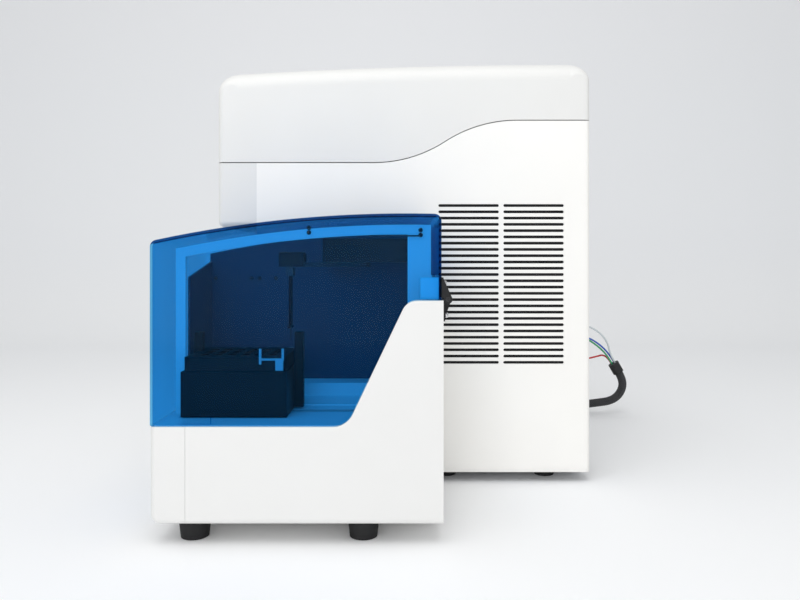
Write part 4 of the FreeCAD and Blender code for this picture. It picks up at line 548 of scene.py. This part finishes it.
TUBE_ROUTES = {
    "blue": [(-356, 311.75, 196), (-356, 340, 196), (-357, 378, 193), (-359, 412, 182), (-363, 447, 165),
             (-367.5, 475, 139.3), (-367.5, 487.03, 118.55)],
    "green": [(-337, 311.75, 194), (-337, 342, 194), (-340, 382, 189), (-346.5, 417, 176), (-354.5, 446, 157.5),
              (-360.5, 468.97, 135.84), (-360.5, 480.97, 115.05)],
    "red": [(-350, 311.75, 128), (-350, 340, 128), (-352, 378, 124), (-356, 412, 126), (-361, 442, 132),
            (-367.5, 467.97, 137.57), (-367.5, 480.97, 115.05)],
    "clear": [(-330, 311.75, 216), (-330, 345, 216), (-332, 385, 214), (-338, 422, 204), (-346, 452, 186),
              (-355, 470, 162), (-360.5, 475.03, 139.34), (-360.5, 487.03, 118.55)],
}
TUBE_COLOURS = {"blue": (0.03, 0.13, 0.62), "green": (0.03, 0.38, 0.16), "red": (0.62, 0.03, 0.03),
                "clear": (0.72, 0.78, 0.80)}
SLEEVE_ROUTE = [(-364, 496, 96.02), (-364, 505.5, 79.56), (-364, 504.8, 58.5), (-364, 493.7, 40.7),
                (-364, 475.5, 30.2), (-364, 448, 26.6), (-366, 412, 21.5), (-371, 376, 13), (-382, 340, 10),
                (-397, 306, 14), (-410, 272, 23), (-417, 238, 27.4)]
COIL_CENTRE = (-529.0, 190.0)
COIL_RADIUS = 110.0
LEAD_END = [(-418.5, 176, 9.4), (-418.5, 158, 10.0), (-419, 138, 13.0)]


# Sizes in millimetres that the small hardware shares with the part's source: the hinges' leaf and the height of
# their pivots, the chamber wall's sheet, and the place along Y where the compression nuts start on the fittings
HINGE_LEAF = 2.5
COVER_PIVOT = 299.5
LID_PIVOT = 570.75
WALL_SHEET = 3
NUT_SEAT = 299.5


def coil_points():
    """Control points of two turns, wound clockwise: the upper turn lies on the lower one, steps inward and then
    down to the bench before it would meet the lower turn's end. Radius and height are read at each 24 degrees."""
    angle = np.arange(0, 700, 24.0)
    reach = np.interp(angle, [0, 288, 316, 372, 430, 720], [1.0, 1.0, 0.825, 0.825, 1.0, 1.0])
    height = np.interp(angle, [0, 318, 366, 720], [27.8, 27.8, 9.2, 9.2])
    spread = COIL_RADIUS / 0.978 * reach
    turn = np.radians(-angle)
    x = COIL_CENTRE[0] + spread * np.cos(turn)
    y = COIL_CENTRE[1] + spread * np.sin(turn)
    return np.stack([x, y, height], -1)[1:]


class CYTOMETER_OT_stage(bpy.types.Operator):
    """Sets up the camera, the pale floor with its sweep, and the soft light"""

    bl_idname = "cytometer.stage"
    bl_label = "Stage"

    def execute(self, context):
        look = context.scene.cytometer_stage
        camera = bpy.data.objects.new("camera", bpy.data.cameras.new("camera"))
        context.scene.collection.objects.link(camera)
        camera.location = (look.camera_distance, look.camera_side, look.camera_height)
        camera.rotation_euler = (math.pi / 2, 0, math.pi / 2)
        camera.data.lens = look.lens
        camera.data.sensor_width = 36.0
        camera.data.shift_y = look.shift
        camera.data.clip_start = 0.05
        context.scene.camera = camera
        self.floor(context)
        self.lights(context, look)
        context.scene.view_settings.view_transform = "Standard"
        return {"FINISHED"}

    def floor(self, context):
        """A flat floor whose rear edge turns up in a quarter circle into the backdrop."""
        near_edge, turn_start, top_edge = 2.6, -1.7, 3.4
        radius, half_width, below_feet = 0.6, 3.6, 0.0004
        angle = np.linspace(0, np.pi / 2, 13)
        x = np.concatenate([[near_edge], turn_start - radius * np.sin(angle), [turn_start - radius]])
        z = np.concatenate([[0.0], radius - radius * np.cos(angle), [top_edge]])
        y = np.array([-half_width, half_width])
        points = np.stack(np.broadcast_arrays(x[:, None], y[None], z[:, None]), -1).astype(float)
        points[..., 2] -= below_feet
        mesh = grid_mesh("floor_sweep", points)
        sweep = bpy.data.objects.new("floor_sweep", mesh)
        context.scene.collection.objects.link(sweep)
        mesh.shade_smooth()
        paper = Finish("pale_bench")
        height = paper.part("Z")
        tone = paper.mix(height.ramp(0.02, 0.5), (0.985, 0.985, 0.985), (0.95, 0.955, 0.965))
        tone = paper.mix(height.ramp(1.0, 1.7), tone, (0.95, 0.95, 0.96))
        mesh.materials.append(paper.surface(paper.principled(
            base_color=tone, roughness=0.55 + paper.noise(9.0) * 0.1,
        )))

    def lights(self, context, look):
        world = bpy.data.worlds.new("room")
        context.scene.world = world
        world.use_nodes = True
        background = world.node_tree.nodes["Background"]
        background.inputs["Color"].default_value = (0.96, 0.98, 1.0, 1.0)
        background.inputs["Strength"].default_value = look.sky
        places = (
            ("key_light", (0.95, -0.25, 2.15), 1.8, look.key_power),
            ("fill_light", (2.5, -0.3, 0.45), 1.5, look.fill_power),
        )
        target = np.array([0, 0, 0.3])
        for name, spot, size, power in places:
            data = bpy.data.lights.new(name, "AREA")
            data.energy = power
            data.size = size
            lamp = bpy.data.objects.new(name, data)
            lamp.location = spot
            aim = target - np.array(spot)
            pitch = math.atan2(math.hypot(aim[0], aim[1]), -aim[2])
            lamp.rotation_euler = (pitch, 0, math.atan2(aim[1], aim[0]) - math.pi / 2)
            context.scene.collection.objects.link(lamp)


class CYTOMETER_OT_cords(bpy.types.Operator):
    """Lays the coloured fluid tubes and the braided umbilical with its coil"""

    bl_idname = "cytometer.cords"
    bl_label = "Tubes and umbilical"

    def execute(self, context):
        sizes = context.scene.cytometer_cords
        for colour, route in TUBE_ROUTES.items():
            line = spline_line("route_" + colour, np.array(route) / 1000)
            mesh = tube_mesh("fluid_tube_" + colour, line, sizes.tube_radius, sides=14)
            piece = shown(mesh.name, mesh, tubing("tubing_" + colour, TUBE_COLOURS[colour]), "chassis")
            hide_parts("tube_" + colour)
        route = np.concatenate([np.array(SLEEVE_ROUTE, float), coil_points(), np.array(LEAD_END, float)]) / 1000
        line = spline_line("route_umbilical", route)
        mesh = tube_mesh("umbilical", line, sizes.sleeve_radius, sides=24)
        piece = shown("umbilical", mesh, braided("braided_sleeve", (0.018, 0.018, 0.02)), "chassis")
        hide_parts("umbilical_sleeve", "umbilical_coil")
        return {"FINISHED"}


class CYTOMETER_OT_housings(bpy.types.Operator):
    """Finishes the lid, fascia, panels, feet and the sampler's housing"""

    bl_idname = "cytometer.housings"
    bl_label = "Housings"

    def execute(self, context):
        look = context.scene.cytometer_shell
        dusty = (0.03, (0.50, 0.49, 0.47))
        dress(moulded("lid_moulding", tuple(look.lid_colour), 1100.0, 0.45), "lid", "front_fascia")
        dress(moulded("panel_coat", tuple(look.panel_colour), 1500.0, 0.5, dust=dusty),
              "side_panel_left", "side_panel_right", "lower_front_panel")
        dress(moulded("rear_coat", (0.70, 0.70, 0.69), 1500.0, 0.5, dust=dusty), "rear_panel")
        dress(moulded("sampler_moulding", tuple(look.sampler_colour), 1100.0, 0.44),
              "sampler_shell", "sampler_front_panel")
        dress(rubbery("foot_rubber", (0.004, 0.004, 0.005), dusty=0.04), "rubber_feet", "bench_mounts")
        dress(open_foam("filter_foam", (0.022, 0.022, 0.024)), "vent_filter")
        dress(moulded("fitting_white", (0.66, 0.67, 0.66), rough=0.35), "bulkhead_fittings")
        dress(moulded("button_grey", (0.42, 0.43, 0.45), rough=0.25, coat=0.3), "power_button")
        dress(drawn_metal("guard_plating", (0.72, 0.72, 0.72), "X", 0.18), "fan_guard")
        dress(moulded("hinge_coat", (0.006, 0.006, 0.007), 1400.0, 0.45, gleam=0.25),
              "lid_hinge_leaves", "cover_hinge_leaves", "fixed_hinge_leaves")
        return {"FINISHED"}


class CYTOMETER_OT_cover(bpy.types.Operator):
    """Finishes the clear blue cover and what hangs in it"""

    bl_idname = "cytometer.cover"
    bl_label = "Clear cover"

    def execute(self, context):
        dress(clear_cover("blue_acrylic", context.scene.cytometer_cover), "sampler_cover")
        dress(moulded("cyan_block", (0.62, 0.93, 0.98), rough=0.3, coat=0.3), "hinge_blocks")
        return {"FINISHED"}


class CYTOMETER_OT_sampling(bpy.types.Operator):
    """Finishes the deck, window frame, rack and probe under the cover"""

    bl_idname = "cytometer.sampling"
    bl_label = "Deck, rack and probe"

    def execute(self, context):
        look = context.scene.cytometer_shell
        dress(moulded("deck_white", tuple(look.deck_colour), 1200.0, 0.4), "deck_plate", "window_frame",
              "wash_station")
        dress(moulded("wall_slate", (0.045, 0.085, 0.125), 1500.0, 0.55, gleam=0.08), "chamber_wall")
        dress(moulded("rack_black", (0.010, 0.010, 0.012), 1300.0, 0.45, gleam=0.15), "rack_carrier", "tube_rack")
        dress(moulded("clip_grey", (0.50, 0.54, 0.57), rough=0.3), "rack_clip")
        dress(moulded("drive_black", (0.010, 0.010, 0.013), 1300.0, 0.4, gleam=0.2), "probe_drive", "probe_head")
        dress(drawn_metal("arm_anodised", (0.035, 0.036, 0.042), "Y", 0.5, metallic=0.3), "probe_arm")
        dress(drawn_metal("probe_dark", (0.05, 0.052, 0.06), "Z", 0.4, metallic=0.3), "sample_probe")
        dress(drawn_metal("rail_aluminium", (0.60, 0.61, 0.62), "Y", 0.35), "carrier_rail")
        dress(drawn_metal("screw_steel", (0.55, 0.55, 0.57), "X", 0.2), "carrier_screw")
        dress(plated_sheet("floor_zinc", (0.52, 0.53, 0.55)), "sampler_floor")
        return {"FINISHED"}


class CYTOMETER_OT_works(bpy.types.Operator):
    """Finishes the optics, fluidics and electronics inside the main unit and the parts on its rear"""

    bl_idname = "cytometer.works"
    bl_label = "Inner works"

    def execute(self, context):
        dress(plated_sheet("zinc_sheet", (0.52, 0.53, 0.55)), "base_tray", "inner_frame", "power_supply")
        dress(drawn_metal("bench_aluminium", (0.62, 0.63, 0.64), "X", 0.38), "optical_bench")
        dress(drawn_metal("black_anodise", (0.020, 0.020, 0.023), "Y", 0.42, metallic=0.6),
              "laser_modules", "optics_mounts", "detector_block", "light_detectors")
        dress(drawn_metal("cell_steel", (0.56, 0.56, 0.58), "Z", 0.25), "flow_cell_block")
        dress(clear_glass("cell_glass"), "flow_cell")
        dress(drawn_metal("pin_black", (0.03, 0.03, 0.032), "X", 0.35), "hinge_pins")
        dress(drawn_metal("plunger_steel", (0.58, 0.58, 0.60), "Z", 0.22), "syringe_plunger")
        dress(moulded("pump_black", (0.03, 0.03, 0.034), 900.0, 0.4), "fluid_pumps", "syringe_pump")
        dress(circuit_board("board_green"), "control_board")
        dress(moulded("fan_black", (0.015, 0.015, 0.017), 1000.0, 0.35), "fan_frame", "fan_rotor",
              "mains_inlet", "power_rocker")
        dress(rubbery("collar_rubber", (0.014, 0.014, 0.015)), "umbilical_collar")
        dress(moulded("connector_black", (0.015, 0.015, 0.016), 1000.0, 0.4), "umbilical_connector")
        return {"FINISHED"}


class CYTOMETER_OT_hardware(bpy.types.Operator):
    """Adds the screws, studs, nuts, ferrules and hinge screws that hold the covers and panels"""

    bl_idname = "cytometer.hardware"
    bl_label = "Screws and fittings"

    def screws(self, name, body, slot, material, radius, height, axis, centres):
        """Alike cap screws; their radius and height are in metres, and their centres in millimetres."""
        profile, hexagon = cap_screw(radius, height)
        centres = np.asarray(centres, float) / 1000
        shown(name, studs(name, profile, centres, axis, hexagon=hexagon), material, body)

    def execute(self, context):
        steel = drawn_metal("screw_heads", (0.66, 0.66, 0.67), "Z", 0.25)
        black = moulded("screw_black", (0.02, 0.02, 0.022), rough=0.35)
        rear = edges_of("rear_panel")[1][1] * 1000
        columns, rows, between = (-358, 106), (24, 330, 500), (-240, -120)
        edging = [(x, rear, z) for x in columns for z in rows] + [(x, rear, rows[0]) for x in between]
        self.screws("rear_panel_screws", "chassis", "zinc_steel", steel, 0.0036, 0.0024, (0, 1, 0), edging)
        guard = edges_of("fan_guard")
        middle = [(low + high) * 500 for low, high in zip(*guard)]
        seat = guard[1][1] * 1000
        hole = 52.5
        fan = [(middle[0] + side * hole, seat, middle[2] + up * hole) for side in (-1, 1) for up in (-1, 1)]
        self.screws("fan_screws", "chassis", "zinc_steel", steel, 0.0038, 0.0026, (0, 1, 0), fan)
        self.hinges(steel)
        wall = edges_of("chamber_wall")[0][0] * 1000 + WALL_SHEET
        spots = [(wall, y, z) for y, z in ((-293, 321.5), (-237, 321.5), (-224.5, 321.5), (-199, 321.5),
                                           (-293, 160), (-120, 160))]
        self.screws("wall_screws", "chassis", "zinc_steel", black, 0.003, 0.002, (1, 0, 0), spots)
        self.window_studs(black)
        self.tube_ferrules(black)
        self.laser_rims(black)
        return {"FINISHED"}

    def hinges(self, steel):
        """Screw heads on each leaf of the four hinges, beside the leaves' stiffening ribs."""
        low, high = (np.array(edge) * 1000 for edge in edges_of("lid_hinge_leaves"))
        pair = (low[0] + 30, high[0] - 30)
        for part, rider, level in (("moving", "lid", LID_PIVOT + 27), ("fixed", "chassis", LID_PIVOT - 27)):
            spots = [(x + side * 19, low[1] + HINGE_LEAF, level) for x in pair for side in (-1, 1)]
            self.screws(f"lid_hinge_{part}_screws", rider, "zinc_steel", steel, 0.0032, 0.0024, (0, 1, 0), spots)
        low, high = (np.array(edge) * 1000 for edge in edges_of("cover_hinge_leaves"))
        fixed_face = edges_of("sampler_shell")[1][1] * 1000 + HINGE_LEAF
        pair = (low[0] + 18, high[0] - 18)
        for part, rider, face, level in (("moving", "cover", low[1] + HINGE_LEAF, COVER_PIVOT + 20),
                                         ("fixed", "chassis", fixed_face, COVER_PIVOT - 20)):
            spots = [(x + side * 8.5, face, level) for x in pair for side in (-1, 1)]
            self.screws(f"cover_hinge_{part}_screws", rider, "zinc_steel", steel, 0.0034, 0.0045, (0, 1, 0), spots)

    def window_studs(self, black):
        """Two pairs of round heads, one over the other, on the window frame's top bar, and the thin stay below."""
        face = edges_of("window_frame")[1][0] * 1000
        places = [(face, y, z + step) for y, z in ((-125.4, 388.2), (22.5, 385.0)) for step in (-3.3, 3.3)]
        self.screws("window_studs", "chassis", "zinc_steel", black, 0.0030, 0.0030, (1, 0, 0), places)
        stay = np.array([(face + 1.2, y, 380.6) for y in np.linspace(-45, 24, 9)]) / 1000
        shown("window_stay", tube_mesh("window_stay", stay, 0.0010, sides=10), black, "chassis")

    def tube_ferrules(self, black):
        """Ribbed compression nuts on the barbs of the four rear fittings."""
        profile = [(0.0, 0.0036)]
        for rib in range(5):
            start = 0.0006 + rib * 0.002
            profile += [(start, 0.0052), (start + 0.0007, 0.0056), (start + 0.0013, 0.0052), (start + 0.0014, 0.0047)]
        profile += [(0.0112, 0.0036)]
        places = [(route[0][0] / 1000, NUT_SEAT / 1000, route[0][2] / 1000) for route in TUBE_ROUTES.values()]
        shown("compression_nuts", studs("compression_nuts", profile, places, (0, 1, 0), sides=24), black, "chassis")

    def laser_rims(self, black):
        """Rims round the three laser modules on the optical bench, at their ends towards the rear."""
        low, high = edges_of("laser_modules")
        rim = [(0.0, 0.009), (0.0, 0.0142), (0.001, 0.015), (0.004, 0.015), (0.005, 0.0142), (0.005, 0.009)]
        inset, pitch = 0.018, 0.062
        level = (low[2] + high[2]) / 2
        places = [(low[0] + inset + step * pitch, high[1], level) for step in range(3)]
        shown("laser_rims", studs("laser_rims", rim, places, (0, 1, 0), sides=28), black, "chassis")


class CYTOMETER_PT_panel(bpy.types.Panel):
    """The add-on's one sidebar panel"""

    bl_label = "Flow Cytometer"
    bl_idname = "CYTOMETER_PT_panel"
    bl_space_type = "VIEW_3D"
    bl_region_type = "UI"
    bl_category = "Cytometer"

    def draw(self, context):
        layout = self.layout
        for name in SETTINGS:
            box = layout.box()
            group = getattr(context.scene, name)
            for key in group.bl_rna.properties.keys():
                if key not in {"rna_type", "name"}:
                    box.prop(group, key)
        for operator in OPERATORS:
            layout.operator(operator.bl_idname)


SETTINGS = {
    "cytometer_shell": ShellLook,
    "cytometer_cover": CoverLook,
    "cytometer_cords": CordSizes,
    "cytometer_stage": StageLook,
}
OPERATORS = (
    CYTOMETER_OT_stage, CYTOMETER_OT_cords, CYTOMETER_OT_housings, CYTOMETER_OT_cover, CYTOMETER_OT_sampling,
    CYTOMETER_OT_works, CYTOMETER_OT_hardware,
)


def register():
    for cls in (*SETTINGS.values(), *OPERATORS, CYTOMETER_PT_panel):
        bpy.utils.register_class(cls)
    for name, group in SETTINGS.items():
        setattr(bpy.types.Scene, name, bpy.props.PointerProperty(type=group))


def unregister():
    for name in SETTINGS:
        delattr(bpy.types.Scene, name)
    for cls in reversed((*SETTINGS.values(), *OPERATORS, CYTOMETER_PT_panel)):
        bpy.utils.unregister_class(cls)


def main():
    register()
    for operator in OPERATORS:
        category, name = operator.bl_idname.split(".")
        getattr(getattr(bpy.ops, category), name)()


if __name__ == "__main__":
    main()
